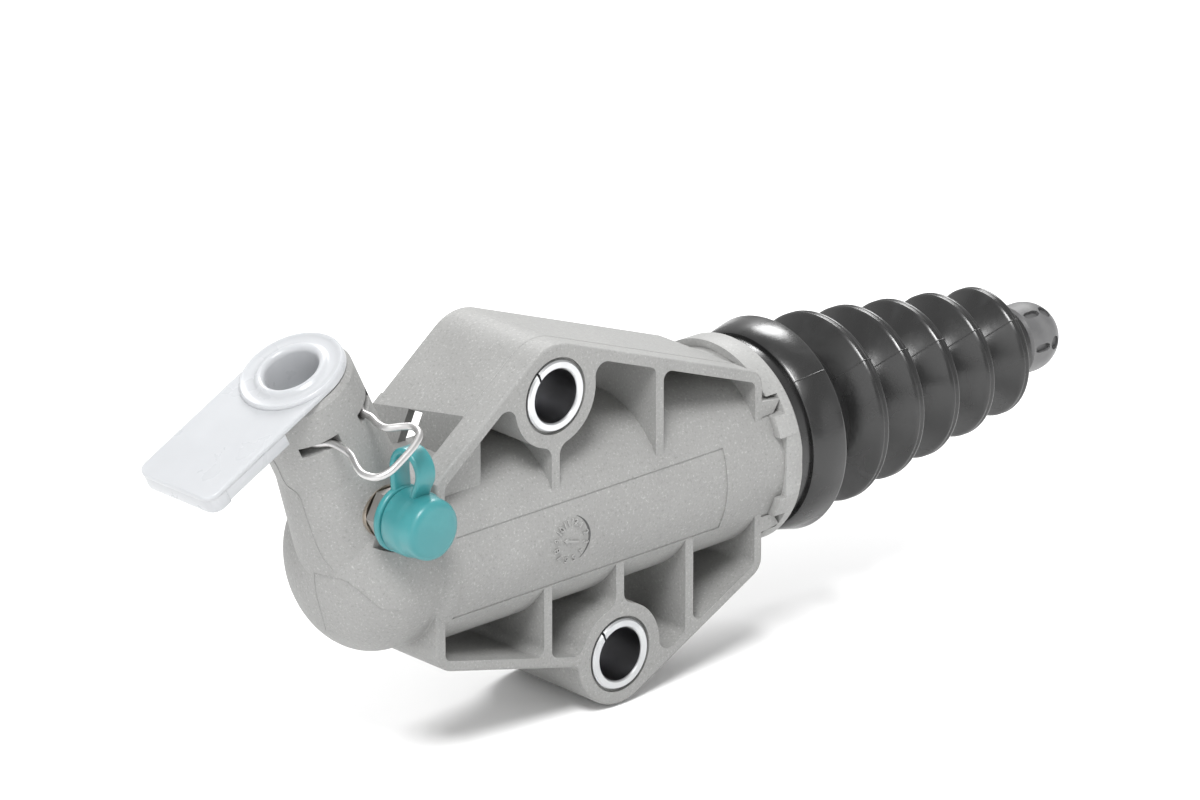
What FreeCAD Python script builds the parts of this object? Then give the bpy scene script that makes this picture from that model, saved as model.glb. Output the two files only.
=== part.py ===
"""Clutch slave cylinder: moulded housing, piston, push rod, boot, bleeder and port plug.

Own frame, in millimetres. The origin lies on the upper bolt's axis, level with the stroke
axis seen from above. +X runs along the stroke towards the push rod, -Y is the side that the
bolt heads and the bleeder face, +Z points from the stroke axis to the upper bolt. Every
piece is drawn about the stroke axis and then lowered by the bolt's rise above it.
"""
import FreeCAD, Part
import math
import os
import Sketcher
from FreeCAD import Placement, Rotation, Vector

doc = FreeCAD.newDocument("clutch_actuator")

# Driving dimensions, in millimetres and degrees. x is counted from the upper bolt.
SIZES = {
    # Barrel, dome and bore
    "barrel_radius": 15.1,
    "mouth_reach": 45.3,
    "barrel_tail": 22.3,
    "shoulder_run": 2.6,
    "shoulder_sink": 0.1,
    "dome_radius": 14.0,
    "dome_tail": 27.0,
    "dome_depth": 9.75,
    "bore_radius": 11.1,
    "bore_tail": 26.0,
    "bore_cone": 3.0,
    "bore_floor_radius": 8.6,
    # Bolt ears
    "bolt_rise": 22.6,
    "bolt_shift": 13.1,
    "boss_radius": 8.1,
    "ear_front": 13.0,
    "ear_back": 8.8,
    "ear_wall": 1.7,
    "ear_tail": 24.0,
    "nose_setback": 2.6,
    "upper_tail_slope": 37.0,
    "upper_nose_slope": 20.5,
    "lower_tail_slope": 14.2,
    "lower_nose_slope": 27.0,
    "nose_round": 3.0,
    "tail_round": 4.0,
    "pocket_round": 1.3,
    "boss_blend": 2.0,
    "rim_round": 0.5,
    "rib_width": 1.6,
    "upper_fore_rib": 21.2,
    "lower_tail_rib": 1.6,
    "lower_fore_rib": 27.4,
    "lug_reach": 3.4,
    "lug_rise": 10.8,
    "lug_depth": 2.2,
    "lug_height": 2.6,
    "lug_play": 0.1,
    # Relief of the upper ear behind the neck
    "relief_front": 8.6,
    "relief_near": 14.4,
    "relief_far": 17.2,
    "relief_slot": 2.6,
    "slot_top_shift": 0.7,
    "slot_foot_shift": 1.9,
    # Port neck
    "port_shift": 24.1,
    "port_tilt": 26.5,
    "neck_radius": 8.8,
    "neck_height": 36.1,
    "neck_bevel": 1.0,
    "neck_blend": 3.5,
    "web_height": 21.0,
    "web_foot_shift": 27.0,
    "web_foot_rise": 2.0,
    "web_top_radius": 8.7,
    "web_foot_radius": 10.0,
    "mouth_radius": 5.4,
    "mouth_depth": 6.5,
    "port_bore_radius": 4.35,
    "port_bore_depth": 16.0,
    "port_hole_radius": 1.6,
    # Label field
    "field_start": 21.0,
    "field_end": 33.4,
    "field_turn": 3.7,
    "field_angle": 52.6,
    "field_depth": 0.2,
    # Steel bushes in the ears
    "bush_outer": 5.6,
    "bush_inner": 4.2,
    "bush_proud": 0.2,
    "bush_split": 0.4,
    "bush_chamfer": 0.25,
    "relief_ring": 0.45,
    # Toothed cover ring and stop ring
    "cover_width": 3.3,
    "cover_radius": 16.4,
    "cover_low_radius": 15.5,
    "cover_overlap": 1.4,
    "cover_bore": 10.4,
    "cover_nose_radius": 13.2,
    "cover_nose_length": 5.6,
    "cover_bead": 0.6,
    "window_angle": 35.0,
    "cover_bevel": 0.8,
    "stop_setback": 2.5,
    "stop_width": 1.3,
    "stop_outer": 12.3,
    "stop_inner": 9.6,
    "stop_gap": 6.0,
    # Piston and what it carries
    "piston_play": 0.06,
    "piston_length": 25.7,
    "piston_rest_gap": 0.3,
    "skirt_radius": 8.4,
    "skirt_depth": 10.5,
    "ball_radius": 5.0,
    "ball_play": 0.05,
    "ball_setback": 17.2,
    "retainer_width": 1.2,
    "retainer_depth": 0.7,
    "retainer_inner": 4.2,
    "seal_groove_depth": 2.3,
    "seal_width": 4.2,
    "seal_setback": 1.2,
    "seal_play": 0.03,
    "rear_seal_width": 2.6,
    "rear_seal_depth": 1.5,
    "rear_seal_setback": 4.2,
    "spreader_radius": 9.4,
    "spreader_thickness": 2.0,
    "spreader_pin_radius": 2.6,
    "spreader_pin_length": 2.4,
    "spring_radius": 7.4,
    "spring_wire": 0.7,
    "spring_turns": 6.0,
    # Push rod and its end cap
    "rod_radius": 4.0,
    "rod_neck_radius": 2.9,
    "rod_neck_length": 10.0,
    "rod_neck_taper": 4.0,
    "rod_cap_gap": 0.14,
    "rod_cap_seat": 5.1,
    "cap_radius": 5.6,
    "cap_sleeve": 3.4,
    "cap_dimples": 6,
    "cap_dimple_radius": 1.1,
    "cap_slot_length": 3.0,
    "cap_slot_width": 1.3,
    # Rubber boot
    "boot_gap": 0.3,
    "boot_neck_radius": 15.0,
    "boot_neck_length": 2.1,
    "cuff_start_radius": 15.8,
    "cuff_end_radius": 17.0,
    "cuff_length": 5.8,
    "cuff_edge": 0.45,
    "boot_wall": 1.2,
    "fold_count": 5,
    "crest_setback": 10.0,
    "fold_pitch": 8.78,
    "first_crest_radius": 15.1,
    "last_crest_radius": 10.3,
    "fold_depth": 3.9,
    "crest_round": 2.3,
    "valley_round": 0.7,
    "boot_tail_radius": 5.9,
    "boot_tail_length": 1.8,
    # Bleed screw, its insert and dust cap
    "bleed_shift": 30.5,
    "bleed_rise": 11.2,
    "bleed_seat_face": 9.2,
    "bleed_seat_radius": 5.7,
    "bleed_hole_radius": 1.2,
    "insert_radius": 4.0,
    "insert_bore": 2.95,
    "insert_length": 4.2,
    "screw_radius": 2.9,
    "screw_tip": 5.6,
    "screw_cone": 1.4,
    "hex_gap": 0.3,
    "hex_length": 2.0,
    "hex_half_flats": 3.7,
    "nipple_radius": 2.2,
    "nipple_barb": 2.75,
    "nipple_end": 18.0,
    "nipple_bore": 0.9,
    "bleed_seal_section": 0.5,
    "cap_ring_start": 11.9,
    "cap_ring_width": 1.3,
    "cap_ring_radius": 5.2,
    "cap_split": 0.35,
    "cap_collar": 3.2,
    "cap_round": 0.8,
    "cap_bore": 2.95,
    "cap_body_radius": 5.1,
    "cap_waist_radius": 4.75,
    "cap_body_end": 20.4,
    "strap_width": 3.5,
    "strap_thickness": 1.25,
    "strap_rise": 6.3,
    "strap_span": 6.2,
    "strap_bend": 2.7,
    "strap_foot": 1.4,
    # Port plug and wire clip
    "plug_flange_gap": 0.1,
    "plug_flange_thickness": 1.2,
    "plug_ring_radius": 7.8,
    "plug_ring_rise": 0.7,
    "plug_half_width": 8.3,
    "plug_reach": 26.2,
    "plug_grip": 3.6,
    "plug_grip_depth": 2.6,
    "plug_hole": 4.3,
    "plug_shoulder_depth": 6.0,
    "plug_rim_depth": 2.2,
    "plug_play": 0.05,
    "plug_nose_radius": 4.2,
    "plug_nose_end": 22.5,
    "plug_floor": 1.5,
    "plug_core_radius": 3.1,
    "clip_height": 28.8,
    "clip_wire": 0.52,
    "clip_leg": 5.1,
    "clip_exit": 3.2,
    "clip_reach": 21.2,
    "clip_bulb": 5.5,
    "clip_tail": 9.8,
    "clip_bend": 1.5,
    "slot_inner": 2.1,
    "slot_outer": 7.3,
    "slot_height": 1.7,
}

sheet = doc.addObject("Spreadsheet::Sheet", "sizes")
for row, (alias, value) in enumerate(SIZES.items(), start=1):
    sheet.set("A%d" % row, alias)
    sheet.set("B%d" % row, str(value))
    sheet.setAlias("B%d" % row, alias)
doc.recompute()


class Size:
    """A number that keeps the sheet formula it was worked out from."""

    def __init__(self, value, text):
        self.value = float(value)
        self.text = text

    def __add__(self, other):
        other = as_size(other)
        return Size(self.value + other.value, "(%s + %s)" % (self.text, other.text))

    def __sub__(self, other):
        other = as_size(other)
        return Size(self.value - other.value, "(%s - %s)" % (self.text, other.text))

    def __mul__(self, other):
        other = as_size(other)
        return Size(self.value * other.value, "(%s * %s)" % (self.text, other.text))

    def __truediv__(self, other):
        other = as_size(other)
        return Size(self.value / other.value, "(%s / %s)" % (self.text, other.text))

    def __neg__(self):
        return Size(-self.value, "(0 - %s)" % self.text)

    def __radd__(self, other):
        return as_size(other) + self

    def __rsub__(self, other):
        return as_size(other) - self

    def __rmul__(self, other):
        return as_size(other) * self


def as_size(number):
    if isinstance(number, Size):
        return number
    return Size(number, "(%.6f)" % number)


def sine(angle):
    return Size(math.sin(math.radians(angle.value)), "sin(%s * 1 deg)" % angle.text)


def cosine(angle):
    return Size(math.cos(math.radians(angle.value)), "cos(%s * 1 deg)" % angle.text)


def root(size):
    return Size(math.sqrt(size.value), "sqrt(%s)" % size.text)


def tangent(angle):
    return Size(math.tan(math.radians(angle.value)), "tan(%s * 1 deg)" % angle.text)


class Cells:
    """The sheet's sizes by name."""

    def __getattr__(self, alias):
        return Size(getattr(sheet, alias), "sizes.%s" % alias)


D = Cells()


# General helpers

def lower_to_frame(piece):
    """Places a piece that is drawn about the stroke axis in the part's frame."""
    piece.setExpression("Placement.Base.z", (-D.bolt_rise).text)


def new_body(label):
    body = doc.addObject("PartDesign::Body", label)
    body.Label = label
    lower_to_frame(body)
    return body


def plane_of(body, role):
    return next(f for f in body.Origin.OriginFeatures if f.Role == role)


def bind(piece, name, size):
    piece.setExpression(name, as_size(size).text)


def new_sketch(body, name, role, lift=None):
    sketch = body.newObject("Sketcher::SketchObject", name)
    sketch.AttachmentSupport = (plane_of(body, role), "")
    sketch.MapMode = "FlatFace"
    if lift is not None:
        bind(sketch, "AttachmentOffset.Base.z", lift)
    return sketch


def pin_point(sketch, element, end, across, up):
    """Holds one end of a sketch element at a place given by two sizes."""
    for kind, size in (("DistanceX", as_size(across)), ("DistanceY", as_size(up))):
        index = sketch.addConstraint(Sketcher.Constraint(kind, -1, 1, element, end, size.value))
        sketch.setExpression("Constraints[%d]" % index, size.text)


def flat(point):
    return Vector(as_size(point[0]).value, as_size(point[1]).value, 0)


def add_outline(sketch, points, centres=None):
    """Draws a closed outline. An edge with a centre is the short arc about it."""
    centres = centres or {}
    count = len(points)
    first = sketch.GeometryCount
    ends = []
    for i in range(count):
        start, end = flat(points[i]), flat(points[(i + 1) % count])
        if i in centres:
            centre = flat(centres[i])
            spoke = (start + end) * 0.5 - centre
            spoke.normalize()
            peak = centre + spoke * (start - centre).Length
            index = sketch.addGeometry(Part.Arc(start, peak, end), False)
        else:
            index = sketch.addGeometry(Part.LineSegment(start, end), False)
        forward = (sketch.getPoint(index, 1) - start).Length < 1e-6
        ends.append((index, 1 if forward else 2, 2 if forward else 1))
    for i in range(count):
        index, near, far = ends[i]
        following, follow_near, _ = ends[(i + 1) % count]
        sketch.addConstraint(Sketcher.Constraint("Coincident", index, far, following, follow_near))
        pin_point(sketch, index, near, *points[i])
        if i in centres:
            spoke = (flat(points[i]) + flat(points[(i + 1) % count])) * 0.5 - flat(centres[i])
            upright = abs(spoke.y) > abs(spoke.x)
            kind = "DistanceY" if upright else "DistanceX"
            size = as_size(centres[i][1 if upright else 0])
            rule = sketch.addConstraint(Sketcher.Constraint(kind, -1, 1, index, 3, size.value))
            sketch.setExpression("Constraints[%d]" % rule, size.text)
    return first


def add_circle(sketch, across, up, radius):
    centre = flat((across, up))
    index = sketch.addGeometry(Part.Circle(centre, Vector(0, 0, 1), as_size(radius).value), False)
    pin_point(sketch, index, 3, across, up)
    rule = sketch.addConstraint(Sketcher.Constraint("Radius", index, as_size(radius).value))
    sketch.setExpression("Constraints[%d]" % rule, as_size(radius).text)
    return index


def add_axis(sketch, start, end):
    index = sketch.addGeometry(Part.LineSegment(flat(start), flat(end)), True)
    pin_point(sketch, index, 1, *start)
    pin_point(sketch, index, 2, *end)
    return index


def solid_volume(body):
    doc.recompute()
    return body.Shape.Volume


def turn(body, name, sketch, axis, cut=False):
    kind = "PartDesign::Groove" if cut else "PartDesign::Revolution"
    before = solid_volume(body) if cut else 0.0
    feature = body.newObject(kind, name)
    feature.Profile = sketch
    feature.ReferenceAxis = axis
    feature.Angle = 360
    sketch.Visibility = False
    if cut and solid_volume(body) >= before:
        raise ValueError("%s cuts nothing" % name)
    return feature


def stroke_axis(body):
    return (plane_of(body, "X_Axis"), [""])


def raise_outline(body, name, sketch, length, both=False):
    pad = body.newObject("PartDesign::Pad", name)
    pad.Profile = sketch
    bind(pad, "Length", length)
    pad.Midplane = both
    sketch.Visibility = False
    return pad


def sink_outline(body, name, sketch, length=None, both=False, reverse=False):
    before = solid_volume(body)
    pocket = body.newObject("PartDesign::Pocket", name)
    pocket.Profile = sketch
    if length is None:
        pocket.Type = "ThroughAll"
    else:
        bind(pocket, "Length", length)
    pocket.Midplane = both
    pocket.Reversed = reverse
    sketch.Visibility = False
    if solid_volume(body) >= before - 1e-6:
        raise ValueError("%s cuts nothing" % name)
    return pocket


def round_edges(body, name, base, radius, chosen):
    """Rounds the edges of a feature that a test picks."""
    doc.recompute()
    names = ["Edge%d" % (i + 1) for i, edge in enumerate(base.Shape.Edges) if chosen(edge)]
    if not names:
        raise ValueError("%s finds no edge" % name)
    fillet = body.newObject("PartDesign::Fillet", name)
    fillet.Base = (base, names)
    bind(fillet, "Radius", radius)
    body.Tip = fillet
    return fillet


def runs_along(edge, direction):
    if edge.Curve.TypeId != "Part::GeomLine":
        return False
    return abs(edge.Curve.Direction.dot(direction)) > 0.999


def middle(edge):
    return edge.valueAt((edge.FirstParameter + edge.LastParameter) / 2.0)


def ring_section(sketch, start, end, inner, outer):
    """A plain rectangle beside the stroke axis, to be turned into a ring."""
    add_outline(sketch, [(start, inner), (end, inner), (end, outer), (start, outer)])


def port_point(along, across):
    """A point of the upright plane, counted along the port's axis and square to it."""
    along, across = as_size(along), as_size(across)
    x = across * cosine(D.port_tilt) - along * sine(D.port_tilt) - D.port_shift
    z = across * sine(D.port_tilt) + along * cosine(D.port_tilt)
    return (x, z)


# Housing: ears with open pockets, barrel and dome, port neck, bleeder boss

ear_frame = new_body("ear_frame")

boss_side = D.boss_radius
upper_tail_tangent = (-(boss_side * sine(D.upper_tail_slope)),
                      D.bolt_rise + boss_side * cosine(D.upper_tail_slope))
upper_nose_tangent = (boss_side * sine(D.upper_nose_slope),
                      D.bolt_rise + boss_side * cosine(D.upper_nose_slope))
lower_nose_tangent = (D.bolt_shift + boss_side * sine(D.lower_nose_slope),
                      -(D.bolt_rise + boss_side * cosine(D.lower_nose_slope)))


def upper_tail_at(x, inset=0.0):
    """Height of the upper ear's sloping tail wall at x, moved inwards by an inset."""
    x, inset = as_size(x), as_size(inset)
    run = x - upper_tail_tangent[0]
    return upper_tail_tangent[1] + run * tangent(D.upper_tail_slope) - inset / cosine(D.upper_tail_slope)


def upper_nose_at(x, inset=0.0):
    x, inset = as_size(x), as_size(inset)
    run = x - upper_nose_tangent[0]
    return upper_nose_tangent[1] - run * tangent(D.upper_nose_slope) - inset / cosine(D.upper_nose_slope)


def lower_tail_at(x, inset=0.0):
    x, inset = as_size(x), as_size(inset)
    run = D.bolt_shift - boss_side - x
    return run * tangent(D.lower_tail_slope) - D.bolt_rise + inset / cosine(D.lower_tail_slope)


def lower_nose_at(x, inset=0.0):
    x, inset = as_size(x), as_size(inset)
    run = x - lower_nose_tangent[0]
    return lower_nose_tangent[1] + run * tangent(D.lower_nose_slope) + inset / cosine(D.lower_nose_slope)


# The outer outline of both ears, as one plate through the barrel.
ear_sketch = new_sketch(ear_frame, "ear_outline", "XZ_Plane", D.ear_front)
tail, nose = -D.ear_tail, D.mouth_reach - D.nose_setback
add_outline(ear_sketch, [
    (tail, upper_tail_at(tail)),
    upper_tail_tangent,
    (0, D.bolt_rise),
    upper_nose_tangent,
    (nose, upper_nose_at(nose)),
    (nose, lower_nose_at(nose)),
    lower_nose_tangent,
    (D.bolt_shift, -D.bolt_rise),
    (D.bolt_shift - boss_side, lower_tail_at(D.bolt_shift - boss_side)),
    (tail, lower_tail_at(tail)),
])
ear_depth = D.ear_front + D.ear_back
ears = raise_outline(ear_frame, "ears", ear_sketch, ear_depth)
ears.Reversed = True

# Corners at the nose end are rounded before the plate is hollowed.
doc.recompute()
nose_corners = round_edges(ear_frame, "nose_corners", ears, D.nose_round,
                           lambda e: runs_along(e, Vector(0, 1, 0)) and middle(e).x > nose.value - 0.01)

doc.recompute()
tail_corner = round_edges(ear_frame, "tail_corner", nose_corners, D.tail_round,
                          lambda e: runs_along(e, Vector(0, 1, 0)) and middle(e).z < 0
                          and abs(middle(e).x - tail.value) < 0.01)

# The hollow between the walls, open to both sides, above and below the barrel.
inner_low = D.barrel_radius / 3.0
upper_hollow = new_sketch(ear_frame, "upper_hollow", "XZ_Plane")
wall = D.ear_wall
add_outline(upper_hollow, [
    (tail + wall, upper_tail_at(tail + wall, wall)),
    (upper_tail_tangent[0] + wall, upper_tail_at(upper_tail_tangent[0] + wall, wall)),
    (0, D.bolt_rise),
    (upper_nose_tangent[0], upper_nose_at(upper_nose_tangent[0], wall)),
    (nose - wall, upper_nose_at(nose - wall, wall)),
    (nose - wall, inner_low),
    (tail + wall, inner_low),
])
sink_outline(ear_frame, "upper_pockets", upper_hollow, ear_depth * 2, both=True)

lower_hollow = new_sketch(ear_frame, "lower_hollow", "XZ_Plane")
add_outline(lower_hollow, [
    (tail + wall, lower_tail_at(tail + wall, wall)),
    (D.bolt_shift - boss_side + wall, lower_tail_at(D.bolt_shift - boss_side + wall, wall)),
    (D.bolt_shift, -D.bolt_rise),
    (lower_nose_tangent[0], lower_nose_at(lower_nose_tangent[0], wall)),
    (nose - wall, lower_nose_at(nose - wall, wall)),
    (nose - wall, -inner_low),
    (tail + wall, -inner_low),
])
sink_outline(ear_frame, "lower_pockets", lower_hollow, ear_depth * 2, both=True)

# Ribs from the barrel to the walls and bosses.
half_rib = D.rib_width / 2
rib_sketch = new_sketch(ear_frame, "upper_ribs", "XZ_Plane", D.ear_front)
for centre, top in ((as_size(0), D.bolt_rise), (D.upper_fore_rib, upper_nose_at(D.upper_fore_rib, wall / 2))):
    add_outline(rib_sketch, [
        (centre - half_rib, inner_low - 1),
        (centre + half_rib, inner_low - 1),
        (centre + half_rib, top),
        (centre - half_rib, top),
    ])
upper_ribs = raise_outline(ear_frame, "upper_rib_pads", rib_sketch, ear_depth)
upper_ribs.Reversed = True
rib_sketch = new_sketch(ear_frame, "lower_ribs", "XZ_Plane", D.ear_front)
for centre, top in ((-D.lower_tail_rib, lower_tail_at(-D.lower_tail_rib, wall / 2)),
                    (D.bolt_shift, -D.bolt_rise),
                    (D.lower_fore_rib, lower_nose_at(D.lower_fore_rib, wall / 2))):
    add_outline(rib_sketch, [
        (centre - half_rib, top),
        (centre + half_rib, top),
        (centre + half_rib, 1 - inner_low),
        (centre - half_rib, 1 - inner_low),
    ])
lower_ribs = raise_outline(ear_frame, "lower_rib_pads", rib_sketch, ear_depth)
lower_ribs.Reversed = True

# Bosses for the steel bushes.
boss_sketch = new_sketch(ear_frame, "boss_outlines", "XZ_Plane", D.ear_front)
add_circle(boss_sketch, 0, D.bolt_rise, D.boss_radius)
add_circle(boss_sketch, D.bolt_shift, -D.bolt_rise, D.boss_radius)
bosses = raise_outline(ear_frame, "bosses", boss_sketch, ear_depth)
bosses.Reversed = True

EAR_DIRECTION = Vector(0, 1, 0)


def face_normal(face, point):
    u, v = face.Surface.parameter(point)
    return face.normalAt(u, v)


def inner_corner(shape, edge):
    """Tells whether an edge along the ear's depth is the bottom of a corner."""
    if not runs_along(edge, EAR_DIRECTION):
        return False
    faces = shape.ancestorsOfType(edge, Part.Face)
    if len(faces) != 2:
        return False
    point = middle(edge)
    first, second = (face_normal(face, point) for face in faces)
    if abs(first.dot(second)) > 0.93:
        return False
    return shape.isInside(point + (first - second) * 0.05, 1e-4, True)


def at_boss(shape, edge):
    kinds = [face.Surface for face in shape.ancestorsOfType(edge, Part.Face)]
    return any(kind.TypeId == "Part::GeomCylinder" for kind in kinds)


doc.recompute()
bosses_shape = bosses.Shape
boss_blends = round_edges(ear_frame, "boss_blends", bosses, D.boss_blend,
                          lambda e: inner_corner(bosses_shape, e) and at_boss(bosses_shape, e))
doc.recompute()
blended_shape = boss_blends.Shape
pocket_corners = round_edges(ear_frame, "pocket_corners", boss_blends, D.pocket_round,
                             lambda e: inner_corner(blended_shape, e))


def outline_edges(shape, lift):
    """The edges round the ears' outer outline on their face at a lift."""
    faces = [face for face in shape.Faces
             if abs(face.CenterOfMass.y - lift) < 1e-3 and abs(face.normalAt(0, 0).y) > 0.99]
    return max(faces, key=lambda face: face.Area).OuterWire.Edges


# The outer edges of both ears are softly rounded, front and back.
doc.recompute()
cornered = pocket_corners.Shape
rims = outline_edges(cornered, -D.ear_front.value) + outline_edges(cornered, D.ear_back.value)
ear_rims = round_edges(ear_frame, "ear_rims", pocket_corners, D.rim_round,
                       lambda e: any(e.isSame(rim) for rim in rims))

# The neck stands in a relief of the upper ear's tail wall, closed by an upright wall.
relief = new_sketch(ear_frame, "neck_relief", "XY_Plane", inner_low)
add_outline(relief, [
    (tail - 2, -D.relief_front),
    (-D.relief_near, -D.relief_front),
    (-D.relief_far, D.ear_back + 1),
    (tail - 2, D.ear_back + 1),
])
sink_outline(ear_frame, "relief_pocket", relief, D.bolt_rise, reverse=True)
relief_wall = new_sketch(ear_frame, "relief_wall", "XY_Plane", inner_low)
add_outline(relief_wall, [
    (-D.relief_near, -D.relief_front),
    (-D.relief_near, -(D.relief_front + wall)),
    (wall - D.relief_near, -(D.relief_front + wall)),
    (wall - D.relief_far, D.ear_back),
    (-D.relief_far, D.ear_back),
])
raise_outline(ear_frame, "relief_upright", relief_wall, D.bolt_rise)
front_strip = new_sketch(ear_frame, "relief_return", "XY_Plane", inner_low)
add_outline(front_strip, [
    (tail + wall / 2, -D.relief_front - wall),
    (-D.relief_near, -D.relief_front - wall),
    (-D.relief_near, -D.relief_front),
    (tail + wall / 2, -D.relief_front),
])
raise_outline(ear_frame, "relief_side", front_strip, D.bolt_rise)
trim = new_sketch(ear_frame, "relief_trim", "XZ_Plane")
add_outline(trim, [
    (tail - 4, upper_tail_at(tail - 4)),
    (upper_tail_tangent[0], upper_tail_tangent[1]),
    (upper_tail_tangent[0], D.bolt_rise * 3),
    (tail - 4, D.bolt_rise * 3),
])
sink_outline(ear_frame, "relief_top", trim, ear_depth * 2, both=True)

# A narrow slot through the upright wall, left by the mould's cores.
slot = new_sketch(ear_frame, "relief_slot", "YZ_Plane", -D.relief_far - 1)
slot_top = upper_tail_at(-(D.relief_near + D.relief_far) / 2) - 0.3
add_outline(slot, [
    (-D.slot_top_shift, slot_top),
    (D.relief_slot - D.slot_top_shift, slot_top),
    (D.relief_slot + D.slot_foot_shift, D.barrel_radius - 1.5),
    (D.slot_foot_shift, D.barrel_radius - 1.5),
])
sink_outline(ear_frame, "relief_gap", slot, wall * 2 + D.relief_far - D.relief_near + 1, reverse=True)


# Barrel, dome and neck are drawn in the housing body itself.
housing = new_body("housing")

dome_base = -D.dome_tail
corner_round = D.dome_depth * 0.85
cap_side = D.dome_radius - corner_round
crown = (D.dome_depth * D.dome_depth + cap_side * cap_side - corner_round * corner_round) / (
    (D.dome_depth - corner_round) * 2)
crown_x = dome_base - D.dome_depth + crown
crown_run = crown_x - dome_base
reach = crown - corner_round
meet = (crown_x - crown_run * crown / reach, cap_side * crown / reach)

dome_sketch = new_sketch(housing, "dome_section", "XZ_Plane")
add_outline(dome_sketch, [
    (dome_base - D.dome_depth, 0),
    meet,
    (dome_base, D.dome_radius),
    (0, D.dome_radius),
    (0, 0),
], {0: (crown_x, 0), 1: (dome_base, cap_side)})
dome = turn(housing, "dome", dome_sketch, stroke_axis(housing))

neck_sketch = new_sketch(housing, "neck_section", "XZ_Plane")
add_outline(neck_sketch, [
    port_point(1, 0),
    port_point(1, D.neck_radius),
    port_point(D.neck_height - D.neck_bevel, D.neck_radius),
    port_point(D.neck_height, D.neck_radius - D.neck_bevel / 2),
    port_point(D.neck_height, 0),
])
add_axis(neck_sketch, port_point(0, 0), port_point(D.neck_height, 0))
neck = turn(housing, "neck", neck_sketch, (neck_sketch, ["Axis0"]))

def is_neck(face):
    surface = face.Surface
    return surface.TypeId == "Part::GeomCylinder" and abs(surface.Radius - D.neck_radius.value) < 1e-6


def at_neck_foot(shape, edge):
    """Tells whether an edge is where the neck leaves the dome or the barrel."""
    faces = shape.ancestorsOfType(edge, Part.Face)
    count = sum(1 for face in faces if is_neck(face))
    return count == 1 and middle(edge).z < D.barrel_radius.value + 1


doc.recompute()
neck_shape = neck.Shape
neck_fillet = round_edges(housing, "neck_fillet", neck, D.neck_blend,
                          lambda e: at_neck_foot(neck_shape, e))

# A tapering web fills the hollow below the neck's outer side.
web_top, web_foot = port_point(D.web_height, 0), (-D.web_foot_shift, D.web_foot_rise)
web_run, web_rise = web_foot[0] - web_top[0], web_foot[1] - web_top[1]
web_length = root(web_run * web_run + web_rise * web_rise)
across_x, across_z = web_rise / web_length, -(web_run / web_length)
web_sketch = new_sketch(housing, "neck_web_section", "XZ_Plane")
add_outline(web_sketch, [
    web_top,
    (web_top[0] + across_x * D.web_top_radius, web_top[1] + across_z * D.web_top_radius),
    (web_foot[0] + across_x * D.web_foot_radius, web_foot[1] + across_z * D.web_foot_radius),
    web_foot,
])
add_axis(web_sketch, web_top, web_foot)
turn(housing, "neck_web", web_sketch, (web_sketch, ["Axis0"]))

# The barrel rises from the dome in a soft shoulder.
barrel_start = -(D.barrel_tail + D.shoulder_run)
start_radius = D.dome_radius - D.shoulder_sink
step = D.barrel_radius - start_radius
swell = (D.shoulder_run * D.shoulder_run + step * step) / (step * 4)
barrel_sketch = new_sketch(housing, "barrel_section", "XZ_Plane")
add_outline(barrel_sketch, [
    (barrel_start, 0),
    (barrel_start, start_radius),
    (barrel_start + D.shoulder_run / 2, start_radius + step / 2),
    (-D.barrel_tail, D.barrel_radius),
    (D.mouth_reach, D.barrel_radius),
    (D.mouth_reach, 0),
], {1: (barrel_start, start_radius + swell), 2: (-D.barrel_tail, D.barrel_radius - swell)})
barrel = turn(housing, "barrel", barrel_sketch, stroke_axis(housing))

# Bleeder: flat seat, pocket for the metal insert and a hole to the port's passage.
seat_sketch = new_sketch(housing, "bleed_seat", "XZ_Plane", D.bleed_seat_face)
add_circle(seat_sketch, -D.bleed_shift, D.bleed_rise, D.bleed_seat_radius)
sink_outline(housing, "bleed_seat_cut", seat_sketch, D.neck_radius, reverse=True)
insert_sketch = new_sketch(housing, "insert_pocket", "XZ_Plane", D.bleed_seat_face + 1)
add_circle(insert_sketch, -D.bleed_shift, D.bleed_rise, D.insert_radius)
sink_outline(housing, "insert_pocket_cut", insert_sketch, D.insert_length + 1)
bleed_sketch = new_sketch(housing, "bleed_hole", "XZ_Plane", D.bleed_seat_face)
add_circle(bleed_sketch, -D.bleed_shift, D.bleed_rise, D.bleed_hole_radius)
sink_outline(housing, "bleed_hole_cut", bleed_sketch, D.bleed_seat_face)

# The ears are joined to the barrel, and small lugs tie their end walls to the collar.
join = housing.newObject("PartDesign::Boolean", "ears_on_barrel")
join.Group = [ear_frame]
join.Type = "Fuse"
ear_frame.setExpression("Placement.Base.z", None)
ear_frame.Placement = Placement()
doc.recompute()

lug_sketch = new_sketch(housing, "lug_outlines", "XZ_Plane", D.ear_front)
for side in (1, -1):
    add_outline(lug_sketch, [
        (nose - D.ear_wall, D.lug_rise * side),
        (nose + D.lug_reach, (D.lug_rise - 0.6) * side),
        (nose + D.lug_reach * 0.6, (D.lug_rise - D.lug_height) * side),
        (nose - D.ear_wall, (D.lug_rise - D.lug_height) * side),
    ])
lugs = raise_outline(housing, "lugs", lug_sketch, D.lug_depth)
lugs.Reversed = True

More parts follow.
